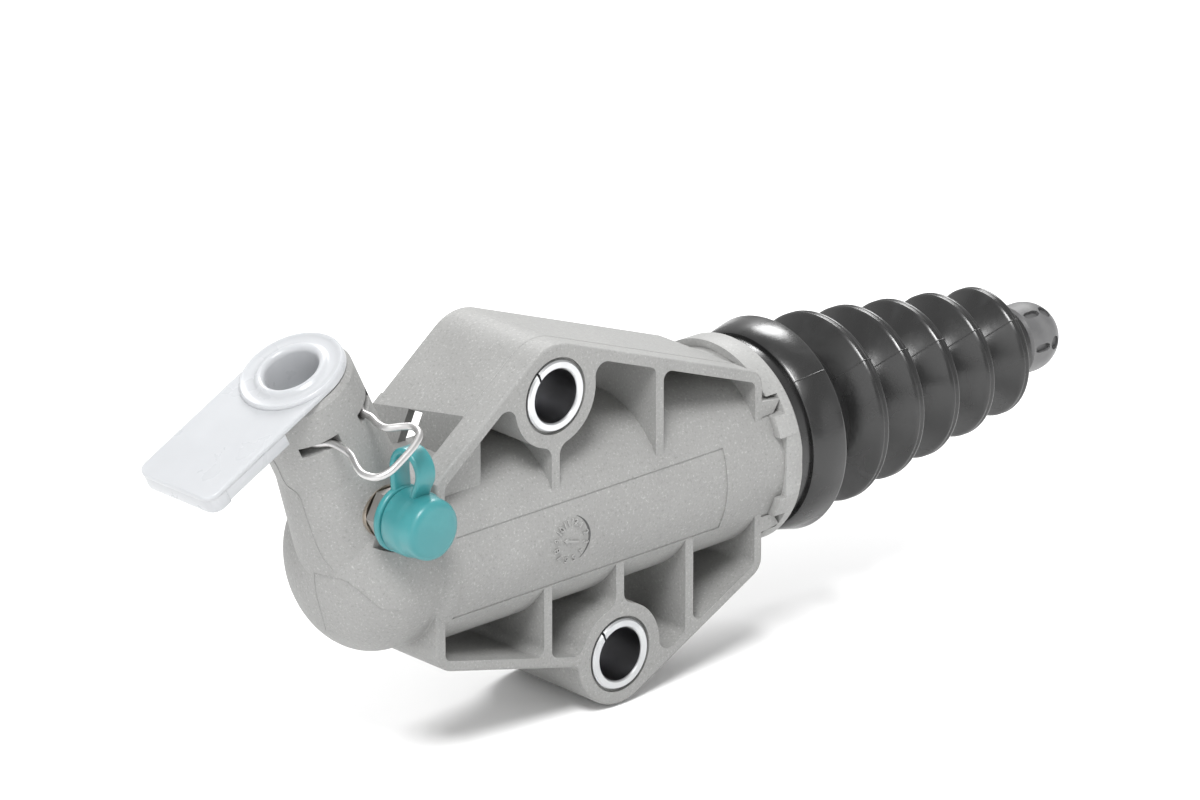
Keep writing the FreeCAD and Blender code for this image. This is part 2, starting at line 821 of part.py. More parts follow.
# Bore with its seal-entry chamfer and the stop ring's groove, cut from the mouth.
stop_end = D.mouth_reach - D.stop_setback
stop_start = stop_end - D.stop_width
bore_sketch = new_sketch(housing, "bore_section", "XZ_Plane")
add_outline(bore_sketch, [
    (-(D.bore_tail + D.bore_cone), 0),
    (-(D.bore_tail + D.bore_cone), D.bore_floor_radius),
    (-D.bore_tail, D.bore_radius),
    (stop_start, D.bore_radius),
    (stop_start, D.stop_outer),
    (stop_end, D.stop_outer),
    (stop_end, D.bore_radius),
    (D.mouth_reach - 1, D.bore_radius),
    (D.mouth_reach + 1, D.bore_radius + 1.4),
    (D.mouth_reach + 1, 0),
])
turn(housing, "bore", bore_sketch, stroke_axis(housing), cut=True)

# Port: mouth for the pipe end, narrower bore below and a passage to the chamber.
port_sketch = new_sketch(housing, "port_section", "XZ_Plane")
add_outline(port_sketch, [
    port_point(D.neck_height + 1, 0),
    port_point(D.neck_height + 1, D.mouth_radius + 1.2),
    port_point(D.neck_height - 0.6, D.mouth_radius),
    port_point(D.neck_height - D.mouth_depth, D.mouth_radius),
    port_point(D.neck_height - D.mouth_depth - 0.8, D.port_bore_radius),
    port_point(D.port_bore_depth, D.port_bore_radius),
    port_point(D.port_bore_depth - 1.2, D.port_hole_radius),
    port_point(7, D.port_hole_radius),
    port_point(7, 0),
])
add_axis(port_sketch, port_point(0, 0), port_point(D.neck_height, 0))
turn(housing, "port", port_sketch, (port_sketch, ["Axis0"]), cut=True)

# Two slots right through the neck for the wire clip's legs.
slot_sketch = new_sketch(housing, "clip_slots", "XZ_Plane")
low, high = D.clip_height - D.slot_height / 2, D.clip_height + D.slot_height / 2
for side in (1, -1):
    add_outline(slot_sketch, [
        port_point(low, D.slot_inner * side),
        port_point(low, D.slot_outer * side),
        port_point(high, D.slot_outer * side),
        port_point(high, D.slot_inner * side),
    ])
sink_outline(housing, "clip_slot_cuts", slot_sketch, D.neck_radius * 4, both=True)

# Bolt holes for the bushes, with a shallow relief ring at both faces.
bolt_sketch = new_sketch(housing, "bush_bores", "XZ_Plane")
bolts = ((as_size(0), D.bolt_rise), (D.bolt_shift, -D.bolt_rise))
for x, z in bolts:
    add_circle(bolt_sketch, x, z, D.bush_outer)
sink_outline(housing, "bush_bore_cuts", bolt_sketch, D.ear_front * 4, both=True)
for label, lift, turned in (("front", D.ear_front, False), ("back", -D.ear_back, True)):
    ring_sketch = new_sketch(housing, "bush_relief_" + label, "XZ_Plane", lift)
    for x, z in bolts:
        add_circle(ring_sketch, x, z, D.bush_outer + D.relief_ring)
    sink_outline(housing, "bush_relief_cut_" + label, ring_sketch, D.relief_ring * 1.5, reverse=turned)

# A shallow label field runs along the barrel's front.
field_sketch = housing.newObject("Sketcher::SketchObject", "field_section")
field_sketch.AttachmentSupport = (plane_of(housing, "XY_Plane"), "")
field_sketch.MapMode = "FlatFace"
field_sketch.AttachmentOffset = Placement(Vector(), Rotation(Vector(1, 0, 0), 0))
bind(field_sketch, "AttachmentOffset.Rotation.Angle", D.field_turn)
add_outline(field_sketch, [
    (-D.field_start, -(D.barrel_radius - D.field_depth)),
    (D.field_end, -(D.barrel_radius - D.field_depth)),
    (D.field_end, -(D.barrel_radius + 1)),
    (-D.field_start, -(D.barrel_radius + 1)),
])
field = housing.newObject("PartDesign::Groove", "label_field")
field.Profile = field_sketch
field.ReferenceAxis = stroke_axis(housing)
bind(field, "Angle", D.field_angle)
field.Midplane = True
field_sketch.Visibility = False

# Small helpers for turned pieces

def turned_piece(label, points, centres=None):
    body = new_body(label)
    sketch = new_sketch(body, label + "_section", "XZ_Plane")
    add_outline(sketch, points, centres)
    feature = turn(body, label + "_turned", sketch, stroke_axis(body))
    return body, feature


def cross_turned(label, x, z, points):
    """A piece turned about an axis along Y through x, z. Points are radius and distance forward."""
    body = new_body(label)
    sketch = new_sketch(body, label + "_section", "XY_Plane", z)
    add_outline(sketch, [(x + radius, -as_size(forward)) for radius, forward in points])
    add_axis(sketch, (x, 0), (x, 10))
    feature = turn(body, label + "_turned", sketch, (sketch, ["Axis0"]))
    return body, feature


# Rolled steel bushes, each with its seam

for label, x, z in (("upper_bush", as_size(0), D.bolt_rise), ("lower_bush", D.bolt_shift, -D.bolt_rise)):
    front, back = D.ear_front + D.bush_proud, -(D.ear_back + D.bush_proud)
    bush, bush_ring = cross_turned(label, x, z, [
        (D.bush_inner, back + D.bush_chamfer),
        (D.bush_inner + D.bush_chamfer, back),
        (D.bush_outer - D.bush_chamfer, back),
        (D.bush_outer, back + D.bush_chamfer),
        (D.bush_outer, front - D.bush_chamfer),
        (D.bush_outer - D.bush_chamfer, front),
        (D.bush_inner + D.bush_chamfer, front),
        (D.bush_inner, front - D.bush_chamfer),
    ])
    seam_sketch = new_sketch(bush, label + "_seam", "XZ_Plane")
    half = D.bush_split / 2
    add_outline(seam_sketch, [
        (x - D.bush_outer * 0.5 - half, z + D.bush_outer * 0.4),
        (x - D.bush_outer * 0.5 + half, z + D.bush_outer * 0.4),
        (x - D.bush_outer * 0.72 + half, z + D.bush_outer),
        (x - D.bush_outer * 0.72 - half, z + D.bush_outer),
    ])
    sink_outline(bush, label + "_seam_cut", seam_sketch, D.ear_front * 4, both=True)

# Cover ring with its barbed nose for the boot

flange_end = D.mouth_reach + D.cover_width
nose_end = flange_end + D.cover_nose_length
cover, cover_turned = turned_piece("cover_ring", [
    (D.mouth_reach, D.cover_bore),
    (nose_end, D.cover_bore),
    (nose_end, D.cover_nose_radius - 0.4),
    (nose_end - 0.4, D.cover_nose_radius),
    (nose_end - D.cover_bead * 2, D.cover_nose_radius + D.cover_bead),
    (nose_end - D.cover_bead * 3, D.cover_nose_radius + D.cover_bead),
    (nose_end - D.cover_bead * 4, D.cover_nose_radius),
    (flange_end, D.cover_nose_radius),
    (flange_end, D.cover_radius - D.cover_bevel),
    (flange_end - D.cover_bevel, D.cover_radius),
    (D.mouth_reach - D.cover_overlap, D.cover_radius),
    (D.mouth_reach - D.cover_overlap, D.barrel_radius),
    (D.mouth_reach, D.barrel_radius),
])
window_sketch = new_sketch(cover, "cover_windows", "YZ_Plane", D.mouth_reach - D.cover_overlap - 1)
rise = D.cover_radius * sine(D.window_angle / 2)
for side in (1, -1):
    add_outline(window_sketch, [
        (D.cover_low_radius * side, -rise),
        ((D.cover_radius + 1) * side, -rise),
        ((D.cover_radius + 1) * side, rise),
        (D.cover_low_radius * side, rise),
    ])
sink_outline(cover, "cover_window_cuts", window_sketch, D.cover_overlap + D.cover_width + 2, reverse=True)
skirt_sketch = new_sketch(cover, "cover_skirt_windows", "YZ_Plane", D.mouth_reach - D.cover_overlap - 1)
for side in (1, -1):
    add_outline(skirt_sketch, [
        (D.barrel_radius * 0.5 * side, -rise),
        (D.cover_radius * 1.1 * side, -rise),
        (D.cover_radius * 1.1 * side, rise),
        (D.barrel_radius * 0.5 * side, rise),
    ])
sink_outline(cover, "cover_skirt_cuts", skirt_sketch, D.cover_overlap + 1, reverse=True)

# The housing's lugs reach into notches of the cover's rim.
notch_lift = D.cover_radius + 1
notch_sketch = new_sketch(cover, "cover_notches", "XZ_Plane", notch_lift)
for side in (1, -1):
    add_outline(notch_sketch, [
        (nose - D.ear_wall, (D.lug_rise + D.lug_play) * side),
        (nose + D.lug_reach + D.lug_play, (D.lug_rise + D.lug_play) * side),
        (nose + D.lug_reach + D.lug_play, (D.lug_rise - D.lug_height - D.lug_play) * side),
        (nose - D.ear_wall, (D.lug_rise - D.lug_height - D.lug_play) * side),
    ])
sink_outline(cover, "cover_notch_cuts", notch_sketch,
             notch_lift - (D.ear_front - D.lug_depth - D.lug_play))

# Stop ring in the mouth's groove, open at one place

stop, stop_turned = turned_piece("stop_ring", [
    (stop_start, D.stop_inner),
    (stop_end, D.stop_inner),
    (stop_end, D.stop_outer),
    (stop_start, D.stop_outer),
])
gap_sketch = new_sketch(stop, "stop_gap", "YZ_Plane", stop_start - 1)
add_outline(gap_sketch, [
    (-(D.stop_gap / 2), -(D.stop_outer + 1)),
    (D.stop_gap / 2, -(D.stop_outer + 1)),
    (D.stop_gap / 2, -(D.stop_inner - 2)),
    (-(D.stop_gap / 2), -(D.stop_inner - 2)),
])
sink_outline(stop, "stop_gap_cut", gap_sketch, D.stop_width + 2, reverse=True)

# Piston, open towards the rod, with two seal grooves and a ball seat

piston_radius = D.bore_radius - D.piston_play
piston_end = stop_start - D.piston_rest_gap
piston_start = piston_end - D.piston_length
ball_x = piston_end - D.ball_setback
seat = D.ball_radius + D.ball_play
retainer_start = ball_x + D.ball_radius * 0.62
retainer_end = retainer_start + D.retainer_width
seal_start = piston_start + D.seal_setback
seal_end = seal_start + D.seal_width
seal_floor = piston_radius - D.seal_groove_depth
rear_end = piston_end - D.rear_seal_setback
rear_start = rear_end - D.rear_seal_width
rear_floor = piston_radius - D.rear_seal_depth
piston, piston_turned = turned_piece("piston", [
    (piston_start, 0),
    (piston_start, piston_radius - 0.5),
    (piston_start + 0.5, piston_radius),
    (seal_start, piston_radius),
    (seal_start, seal_floor),
    (seal_end, seal_floor),
    (seal_end, piston_radius),
    (rear_start, piston_radius),
    (rear_start, rear_floor),
    (rear_end, rear_floor),
    (rear_end, piston_radius),
    (piston_end - 0.5, piston_radius),
    (piston_end, piston_radius - 0.5),
    (piston_end, D.skirt_radius),
    (piston_end - D.skirt_depth, D.skirt_radius),
    (retainer_end + 1, seat + 0.3),
    (retainer_end, seat),
    (retainer_end, seat + D.retainer_depth),
    (retainer_start, seat + D.retainer_depth),
    (retainer_start, seat),
    (ball_x, seat),
    (ball_x - seat, 0),
], {20: (ball_x, 0)})

seal_outer = D.bore_radius - D.seal_play
pressure_seal, _ = turned_piece("pressure_seal", [
    (seal_start, seal_floor),
    (seal_start + D.seal_width * 0.5, seal_floor + D.seal_groove_depth * 0.5),
    (seal_start, seal_outer),
    (seal_start + D.seal_width * 0.25, seal_outer),
    (seal_end - D.seal_play, piston_radius - 0.3),
    (seal_end, seal_floor),
])
guide_seal, _ = turned_piece("guide_seal", [
    (rear_start, rear_floor),
    (rear_end, rear_floor),
    (rear_end, seal_outer - 0.4),
    (rear_end - D.rear_seal_width * 0.5, seal_outer),
    (rear_start, seal_outer - 0.4),
])
retainer, _ = turned_piece("ball_retainer", [
    (retainer_start, D.retainer_inner),
    (retainer_end, D.retainer_inner),
    (retainer_end, seat + D.retainer_depth),
    (retainer_start, seat + D.retainer_depth),
])
spreader_start = piston_start - D.spreader_thickness
spreader, _ = turned_piece("seal_spreader", [
    (spreader_start - D.spreader_pin_length, 0),
    (spreader_start - D.spreader_pin_length, D.spreader_pin_radius),
    (spreader_start, D.spreader_pin_radius),
    (spreader_start, D.spreader_radius),
    (piston_start, D.spreader_radius),
    (piston_start, 0),
])

# Preload spring between the chamber's floor and the spreader

def ring_of(centre, direction, radius, sides):
    """A closed outline of a wire's section, square to a direction."""
    turned = Rotation(Vector(0, 0, 1), direction)
    corners = []
    for i in range(sides):
        angle = 2 * math.pi * i / sides
        spoke = Vector(radius * math.cos(angle), radius * math.sin(angle), 0)
        corners.append(centre + turned.multVec(spoke))
    return Part.makePolygon(corners + corners[:1])


def coil_path(start_x, end_x, radius, turns):
    """A coil about the stroke axis, as a chain of quarter-turn arcs."""
    count = int(round(turns * 4))

    def point(quarter):
        angle = math.pi / 2 * quarter
        x = start_x + (end_x - start_x) * quarter / count
        return Vector(x, radius * math.sin(angle), radius * math.cos(angle))

    return Part.Wire([Part.Arc(point(i), point(i + 0.5), point(i + 1)).toShape() for i in range(count)])


def wire_part(label, path, direction, radius):
    section = ring_of(path.OrderedVertexes[0].Point, direction, radius * WIRE_GROW, WIRE_SIDES)
    piece = doc.addObject("Part::Feature", label)
    piece.Label = label
    piece.Shape = path.makePipeShell([section], True, False, 0)
    return piece


WIRE_SIDES = 8
WIRE_GROW = math.sqrt(math.pi / (WIRE_SIDES / 2.0 * math.sin(2 * math.pi / WIRE_SIDES)))
wire_reach = sheet.spring_wire * WIRE_GROW
floor_x = -(D.bore_tail + D.bore_cone)
coil = coil_path(floor_x.value + wire_reach, spreader_start.value - wire_reach,
                 sheet.spring_radius, sheet.spring_turns)
first = coil.OrderedEdges[0]
spring = wire_part("preload_spring", coil, first.tangentAt(first.FirstParameter), sheet.spring_wire)
spring.Placement = Placement(Vector(0, 0, -sheet.bolt_rise), Rotation())

# Stations of the boot along the stroke, from the cover ring to the rod's cap

FOLDS = int(sheet.fold_count)
boot_start = flange_end + D.boot_gap
cuff_start = boot_start + D.boot_neck_length
cuff_end = cuff_start + D.cuff_length
first_crest = cuff_end + D.crest_setback
last_crest = first_crest + D.fold_pitch * (FOLDS - 1)
tail_start = last_crest + D.fold_pitch / 2 - D.valley_round / 2
boot_end = tail_start + D.boot_tail_length
rod_cap_start = boot_end + D.rod_cap_gap
rod_end = rod_cap_start + D.rod_cap_seat

# Push rod and its end cap

rod, _ = turned_piece("push_rod", [
    (ball_x - D.ball_radius, 0),
    (ball_x, D.ball_radius),
    (ball_x + D.ball_radius * 0.8, D.ball_radius * 0.6),
    (ball_x + D.rod_neck_length, D.rod_neck_radius),
    (ball_x + D.rod_neck_length + D.rod_neck_taper, D.rod_radius),
    (rod_end - 0.5, D.rod_radius),
    (rod_end, D.rod_radius - 0.5),
    (rod_end, 0),
], {0: (ball_x, 0), 1: (ball_x, 0)})
cap_body_end = rod_cap_start + D.cap_sleeve
rod_cap, rod_cap_turned = turned_piece("rod_cap", [
    (rod_cap_start, D.rod_radius),
    (rod_cap_start, D.cap_radius - 0.4),
    (rod_cap_start + 0.4, D.cap_radius),
    (cap_body_end, D.cap_radius),
    (cap_body_end + D.cap_radius, 0),
    (rod_end, 0),
    (rod_end, D.rod_radius),
], {3: (cap_body_end, 0)})
dimple_sketch = new_sketch(rod_cap, "cap_dimple", "XZ_Plane", D.cap_radius * 0.78)
add_circle(dimple_sketch, cap_body_end + D.cap_radius * 0.34, 0, D.cap_dimple_radius)
dimple = sink_outline(rod_cap, "cap_dimple_cut", dimple_sketch, D.cap_radius, reverse=True)
slot_cut = new_sketch(rod_cap, "cap_slot", "XZ_Plane", D.cap_radius - 0.7)
half_slot = D.cap_slot_width / 2
slot_left = rod_cap_start + 0.8
slot_right = slot_left + D.cap_slot_length
add_outline(slot_cut, [
    (slot_left, -(half_slot / 2)),
    (slot_left + half_slot, -half_slot),
    (slot_right - half_slot, -half_slot),
    (slot_right, -(half_slot / 2)),
    (slot_right, half_slot / 2),
    (slot_right - half_slot, half_slot),
    (slot_left + half_slot, half_slot),
    (slot_left, half_slot / 2),
])
groove = sink_outline(rod_cap, "cap_slot_cut", slot_cut, D.cap_radius, reverse=True)
around = rod_cap.newObject("PartDesign::PolarPattern", "cap_marks")
around.Originals = [dimple, groove]
around.Axis = stroke_axis(rod_cap)
around.Angle = 360
bind(around, "Occurrences", D.cap_dimples)
rod_cap.Tip = around

# Rubber boot: neck, cuff over the cover's nose, folds and tail on the rod

def fold_points(inset):
    """The folds' outline from the cuff to the tail, moved inwards by the wall."""
    points = []
    lobe = D.crest_round - inset
    for i in range(FOLDS):
        crest_x = first_crest + D.fold_pitch * i
        crest_r = D.first_crest_radius - (D.first_crest_radius - D.last_crest_radius) * (i / (FOLDS - 1.0))
        low = crest_r - D.fold_depth - inset
        half = D.fold_pitch / 2
        points.append((crest_x - half + D.valley_round / 2, low))
        for angle in CREST_ANGLES:
            side = math.sin(math.radians(angle))
            lift = math.cos(math.radians(angle))
            points.append((crest_x + lobe * side, crest_r - D.crest_round + lobe * lift))
        points.append((crest_x + half - D.valley_round / 2, low))
    return points


CREST_ANGLES = (-75, -45, -15, 15, 45, 75)
outer_folds = fold_points(as_size(0))
inner_folds = fold_points(D.boot_wall)
start_points = [
    (boot_start, D.cover_nose_radius + D.cover_bead),
    (boot_start, D.boot_neck_radius),
    (cuff_start, D.boot_neck_radius),
    (cuff_start, D.cuff_start_radius),
    (cuff_end - D.cuff_edge, D.cuff_end_radius),
    (cuff_end, D.cuff_end_radius - D.cuff_edge),
]
outline = start_points + outer_folds[:-1] + [
    (tail_start, D.boot_tail_radius),
    (boot_end, D.boot_tail_radius),
    (boot_end, D.rod_radius),
    (tail_start - 1, D.rod_radius),
]
outline += list(reversed(inner_folds[:-1]))
outline += [
    (cuff_end + 0.3, D.cover_nose_radius + D.cover_bead),
]
boot, _ = turned_piece("boot", outline)

# Bleed insert, bleed screw and its seal ring

bleed_x, bleed_z = -D.bleed_shift, D.bleed_rise
insert_inner = D.bleed_seat_face - D.insert_length
insert, _ = cross_turned("bleed_insert", bleed_x, bleed_z, [
    (D.insert_bore, insert_inner),
    (D.insert_bore, D.bleed_seat_face),
    (D.insert_radius, D.bleed_seat_face),
    (D.insert_radius, insert_inner),
])
hex_start = D.bleed_seat_face + D.hex_gap
hex_end = hex_start + D.hex_length
ring_groove = D.bleed_seal_section
screw, screw_turned = cross_turned("bleed_screw", bleed_x, bleed_z, [
    (0, D.screw_tip),
    (D.screw_radius - D.screw_cone, D.screw_tip),
    (D.screw_radius, D.screw_tip + D.screw_cone),
    (D.screw_radius, hex_start - ring_groove * 2),
    (D.screw_radius - ring_groove, hex_start - ring_groove * 2),
    (D.screw_radius - ring_groove, hex_start),
    (D.screw_radius, hex_start),
    (D.screw_radius, hex_end),
    (D.nipple_radius, hex_end + 0.5),
    (D.nipple_radius, D.nipple_end - 2.4),
    (D.nipple_barb, D.nipple_end - 1.7),
    (D.nipple_barb - 0.6, D.nipple_end),
    (D.nipple_bore, D.nipple_end),
    (D.nipple_bore, D.screw_tip + 3),
    (0, D.screw_tip + 3),
])
hex_sketch = new_sketch(screw, "hex_outline", "XZ_Plane", hex_start)
corner = D.hex_half_flats / cosine(as_size(30))
add_outline(hex_sketch, [
    (bleed_x + corner * cosine(as_size(60 * k)), bleed_z + corner * sine(as_size(60 * k)))
    for k in range(6)
])
hexagon = raise_outline(screw, "hex_pad", hex_sketch, D.hex_length)
hole_sketch = new_sketch(screw, "nipple_hole", "XZ_Plane", D.nipple_end + 1)
add_circle(hole_sketch, bleed_x, bleed_z, D.nipple_bore)
sink_outline(screw, "nipple_hole_cut", hole_sketch, D.nipple_end - D.screw_tip - 2)
bleed_ring, _ = cross_turned("bleed_seal", bleed_x, bleed_z, [
    (D.screw_radius - ring_groove, hex_start - ring_groove * 2),
    (D.screw_radius - ring_groove, hex_start - ring_groove),
    (D.insert_bore - D.seal_play, hex_start - ring_groove),
    (D.insert_bore - D.seal_play, hex_start - ring_groove * 2),
])

# Dust cap: ring behind the barb, drum over the nipple and a strap between them

ring_end = D.cap_ring_start + D.cap_ring_width
drum_start = ring_end + D.cap_split
drum_step = drum_start + D.cap_collar
cap, cap_drum = cross_turned("dust_cap", bleed_x, bleed_z, [
    (D.cap_bore, drum_start),
    (D.cap_body_radius - 0.3, drum_start),
    (D.cap_body_radius, drum_start + 0.3),
    (D.cap_body_radius, drum_step),
    (D.cap_waist_radius, drum_step + 0.8),
    (D.cap_waist_radius, D.cap_body_end - D.cap_round),
    (D.cap_waist_radius - D.cap_round, D.cap_body_end),
    (0, D.cap_body_end),
    (0, D.nipple_end + 0.4),
    (D.cap_bore, D.nipple_end + 0.4),
])
ring_sketch = new_sketch(cap, "cap_ring_section", "XY_Plane", bleed_z)
add_outline(ring_sketch, [
    (bleed_x + D.cap_bore, -D.cap_ring_start),
    (bleed_x + D.cap_ring_radius - 0.3, -D.cap_ring_start),
    (bleed_x + D.cap_ring_radius, -(D.cap_ring_start + 0.3)),
    (bleed_x + D.cap_ring_radius, -ring_end),
    (bleed_x + D.cap_bore, -ring_end),
])
add_axis(ring_sketch, (bleed_x, 0), (bleed_x, 10))
strap_sketch = new_sketch(cap, "cap_strap_outline", "YZ_Plane", bleed_x)
loop_centre = (-(D.cap_ring_start + D.strap_span / 2), bleed_z + D.cap_ring_radius + D.strap_rise - D.strap_bend)
foot_front = -(D.cap_ring_start + D.strap_span - D.strap_foot)
foot_back = -(D.cap_ring_start + 0.1)
foot_z = bleed_z + D.cap_body_radius - 0.5
for inset in (as_size(0), D.strap_thickness):
    bend = D.strap_bend - inset
    lift = foot_z + inset * 1.2
    add_outline(strap_sketch, [
        (foot_back - inset, lift),
        (loop_centre[0] + bend, loop_centre[1]),
        (loop_centre[0], loop_centre[1] + bend),
        (loop_centre[0] - bend, loop_centre[1]),
        (foot_front + inset, lift),
    ], {1: loop_centre, 2: loop_centre})
strap = raise_outline(cap, "cap_strap", strap_sketch, D.strap_width, both=True)
ring_turned = turn(cap, "cap_ring", ring_sketch, (ring_sketch, ["Axis0"]))

# Port plug: ring, grip strip and spigot, all square to the port's axis

def port_sketch_on(body, name, along):
    """A sketch square to the port's axis. Its x runs away from the grip, its y to the back."""
    sketch = body.newObject("Sketcher::SketchObject", name)
    sketch.AttachmentSupport = (plane_of(body, "XY_Plane"), "")
    sketch.MapMode = "FlatFace"
    sketch.AttachmentOffset = Placement(Vector(), Rotation(Vector(0, 1, 0), -sheet.port_tilt))
    bind(sketch, "AttachmentOffset.Rotation.Angle", -D.port_tilt)
    x, z = port_point(along, 0)
    bind(sketch, "AttachmentOffset.Base.x", x)
    bind(sketch, "AttachmentOffset.Base.z", z)
    return sketch


def port_turned(body, name, points):
    sketch = new_sketch(body, name + "_section", "XZ_Plane")
    add_outline(sketch, [port_point(along, radius) for along, radius in points])
    add_axis(sketch, port_point(0, 0), port_point(D.neck_height, 0))
    return turn(body, name, sketch, (sketch, ["Axis0"]))


plug = new_body("port_plug")
flange_base = D.neck_height + D.plug_flange_gap
flange_top = flange_base + D.plug_flange_thickness
spigot_radius = D.mouth_radius - D.plug_play
shoulder_along = D.neck_height - D.plug_shoulder_depth
spigot = port_turned(plug, "plug_spigot", [
    (D.plug_nose_end, 0),
    (D.plug_nose_end, D.plug_nose_radius - 0.5),
    (D.plug_nose_end + 0.5, D.plug_nose_radius),
    (shoulder_along, D.plug_nose_radius),
    (shoulder_along, spigot_radius),
    (flange_base, spigot_radius),
    (flange_base, D.plug_half_width),
    (flange_top, D.plug_half_width),
    (flange_top, D.plug_ring_radius),
    (flange_top + D.plug_ring_rise, D.plug_ring_radius - 0.5),
    (flange_top + D.plug_ring_rise, D.plug_hole + 0.5),
    (flange_top, D.plug_hole),
    (shoulder_along + 0.8, D.plug_hole),
    (shoulder_along + 0.8, D.plug_core_radius),
    (D.plug_nose_end + D.plug_floor, D.plug_core_radius),
    (D.plug_nose_end + D.plug_floor, 0),
])
strip_sketch = port_sketch_on(plug, "plug_strip_outline", flange_base)
add_outline(strip_sketch, [
    (-D.mouth_radius, D.plug_half_width - 0.4),
    (-(D.plug_reach - 2), D.plug_half_width),
    (-D.plug_reach, D.plug_half_width - 2),
    (-D.plug_reach, -(D.plug_half_width - 2)),
    (-(D.plug_reach - 2), -D.plug_half_width),
    (-D.mouth_radius, -(D.plug_half_width - 0.4)),
], {1: (-(D.plug_reach - 2), D.plug_half_width - 2), 3: (-(D.plug_reach - 2), -(D.plug_half_width - 2))})
strip = raise_outline(plug, "plug_strip", strip_sketch, D.plug_flange_thickness * 0.8)
rim_sketch = port_sketch_on(plug, "plug_side_rims", flange_base + 0.2)
for side in (1, -1):
    add_outline(rim_sketch, [
        (-(D.neck_radius + 0.7), (D.plug_half_width - 1) * side),
        (-(D.neck_radius + 0.7), D.plug_half_width * side),
        (-(D.plug_reach - 2), D.plug_half_width * side),
        (-(D.plug_reach - 2), (D.plug_half_width - 1) * side),
    ])
rims = raise_outline(plug, "plug_rims", rim_sketch, D.plug_rim_depth)
rims.Reversed = True
grip_sketch = port_sketch_on(plug, "plug_grip_outline", flange_base + 0.2)
add_outline(grip_sketch, [
    (-(D.plug_reach - D.plug_grip), D.plug_half_width),
    (-(D.plug_reach - 2), D.plug_half_width),
    (-D.plug_reach, D.plug_half_width - 2),
    (-D.plug_reach, -(D.plug_half_width - 2)),
    (-(D.plug_reach - 2), -D.plug_half_width),
    (-(D.plug_reach - D.plug_grip), -D.plug_half_width),
], {1: (-(D.plug_reach - 2), D.plug_half_width - 2), 3: (-(D.plug_reach - 2), -(D.plug_half_width - 2))})
grip = raise_outline(plug, "plug_grip_bar", grip_sketch, D.plug_grip_depth)
grip.Reversed = True

# Wire clip: two legs through the neck's slots and an open loop in front of it

def rounded_wire(points, radius):
    """Straight runs joined by tangent arcs."""
    edges = []
    previous = points[0]
    for i in range(1, len(points) - 1):
        before, here, after = points[i - 1], points[i], points[i + 1]
        back, ahead = (before - here), (after - here)
        limit = 0.45 * min(back.Length, ahead.Length)
        half_turn = (math.pi - back.getAngle(ahead)) / 2
        trim_length = min(limit, radius * math.tan(half_turn))
        back.normalize()
        ahead.normalize()
        start, end = here + back * trim_length, here + ahead * trim_length
        bend = trim_length / math.tan(half_turn)
        bisector = back + ahead
        bisector.normalize()
        centre = here + bisector * (bend / math.cos(half_turn))
        spoke = here - centre
        spoke.normalize()
        edges.append(Part.LineSegment(previous, start).toShape())
        edges.append(Part.Arc(start, centre + spoke * bend, end).toShape())
        previous = end
    edges.append(Part.LineSegment(previous, points[-1]).toShape())
    return Part.Wire(edges)


exit_half, leg = sheet.clip_exit, sheet.clip_leg
half_loop = [
    (leg + 1.6, sheet.clip_tail + 0.6),
    (leg, sheet.clip_tail - 1.6),
    (leg, -3.0),
    (leg - 0.6, -6.2),
    (exit_half, -8.8),
    (exit_half, -12.4),
    (sheet.clip_bulb, -16.4),
    (sheet.clip_bulb, -19.0),
    (sheet.clip_bulb - 2.2, -sheet.clip_reach),
]
path = [Vector(-x, y, 0) for x, y in half_loop] + [Vector(x, y, 0) for x, y in reversed(half_loop)]
wire_path = rounded_wire(path, sheet.clip_bend)
clip = wire_part("retaining_clip", wire_path, path[1] - path[0], sheet.clip_wire)
tilt = Rotation(Vector(0, 1, 0), -sheet.port_tilt)
clip_x, clip_z = port_point(D.clip_height, 0)
clip.Placement = Placement(Vector(clip_x.value, 0, clip_z.value - sheet.bolt_rise), tilt)

# Every feature must have worked before anything is written.
doc.recompute()
for item in doc.Objects:
    if "Invalid" in item.State or "Error" in item.State:
        raise ValueError("failed: %s" % item.Name)

NODES = [
    housing, doc.getObject("upper_bush"), doc.getObject("lower_bush"), cover, stop, boot,
    piston, pressure_seal, guide_seal, spreader, spring, retainer, rod, rod_cap,
    insert, screw, bleed_ring, cap, plug, clip,
]
os.makedirs("parts", exist_ok=True)
for node in NODES:
    shape = node.Shape
    if shape.isNull() or not shape.isValid():
        raise ValueError("no sound shape: %s" % node.Label)
    shape.exportStep("parts/%s.step" % node.Label)
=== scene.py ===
"""Looks of a clutch actuator: speckled nylon housing, black bellows, teal dust cap, milky plug.

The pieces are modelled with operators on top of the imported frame, in metres. The origin is
on the upper bolt's axis, +X along the stroke, -Y towards the bolt heads, +Z up.
"""
import math

import bpy
from mathutils import Matrix, Vector


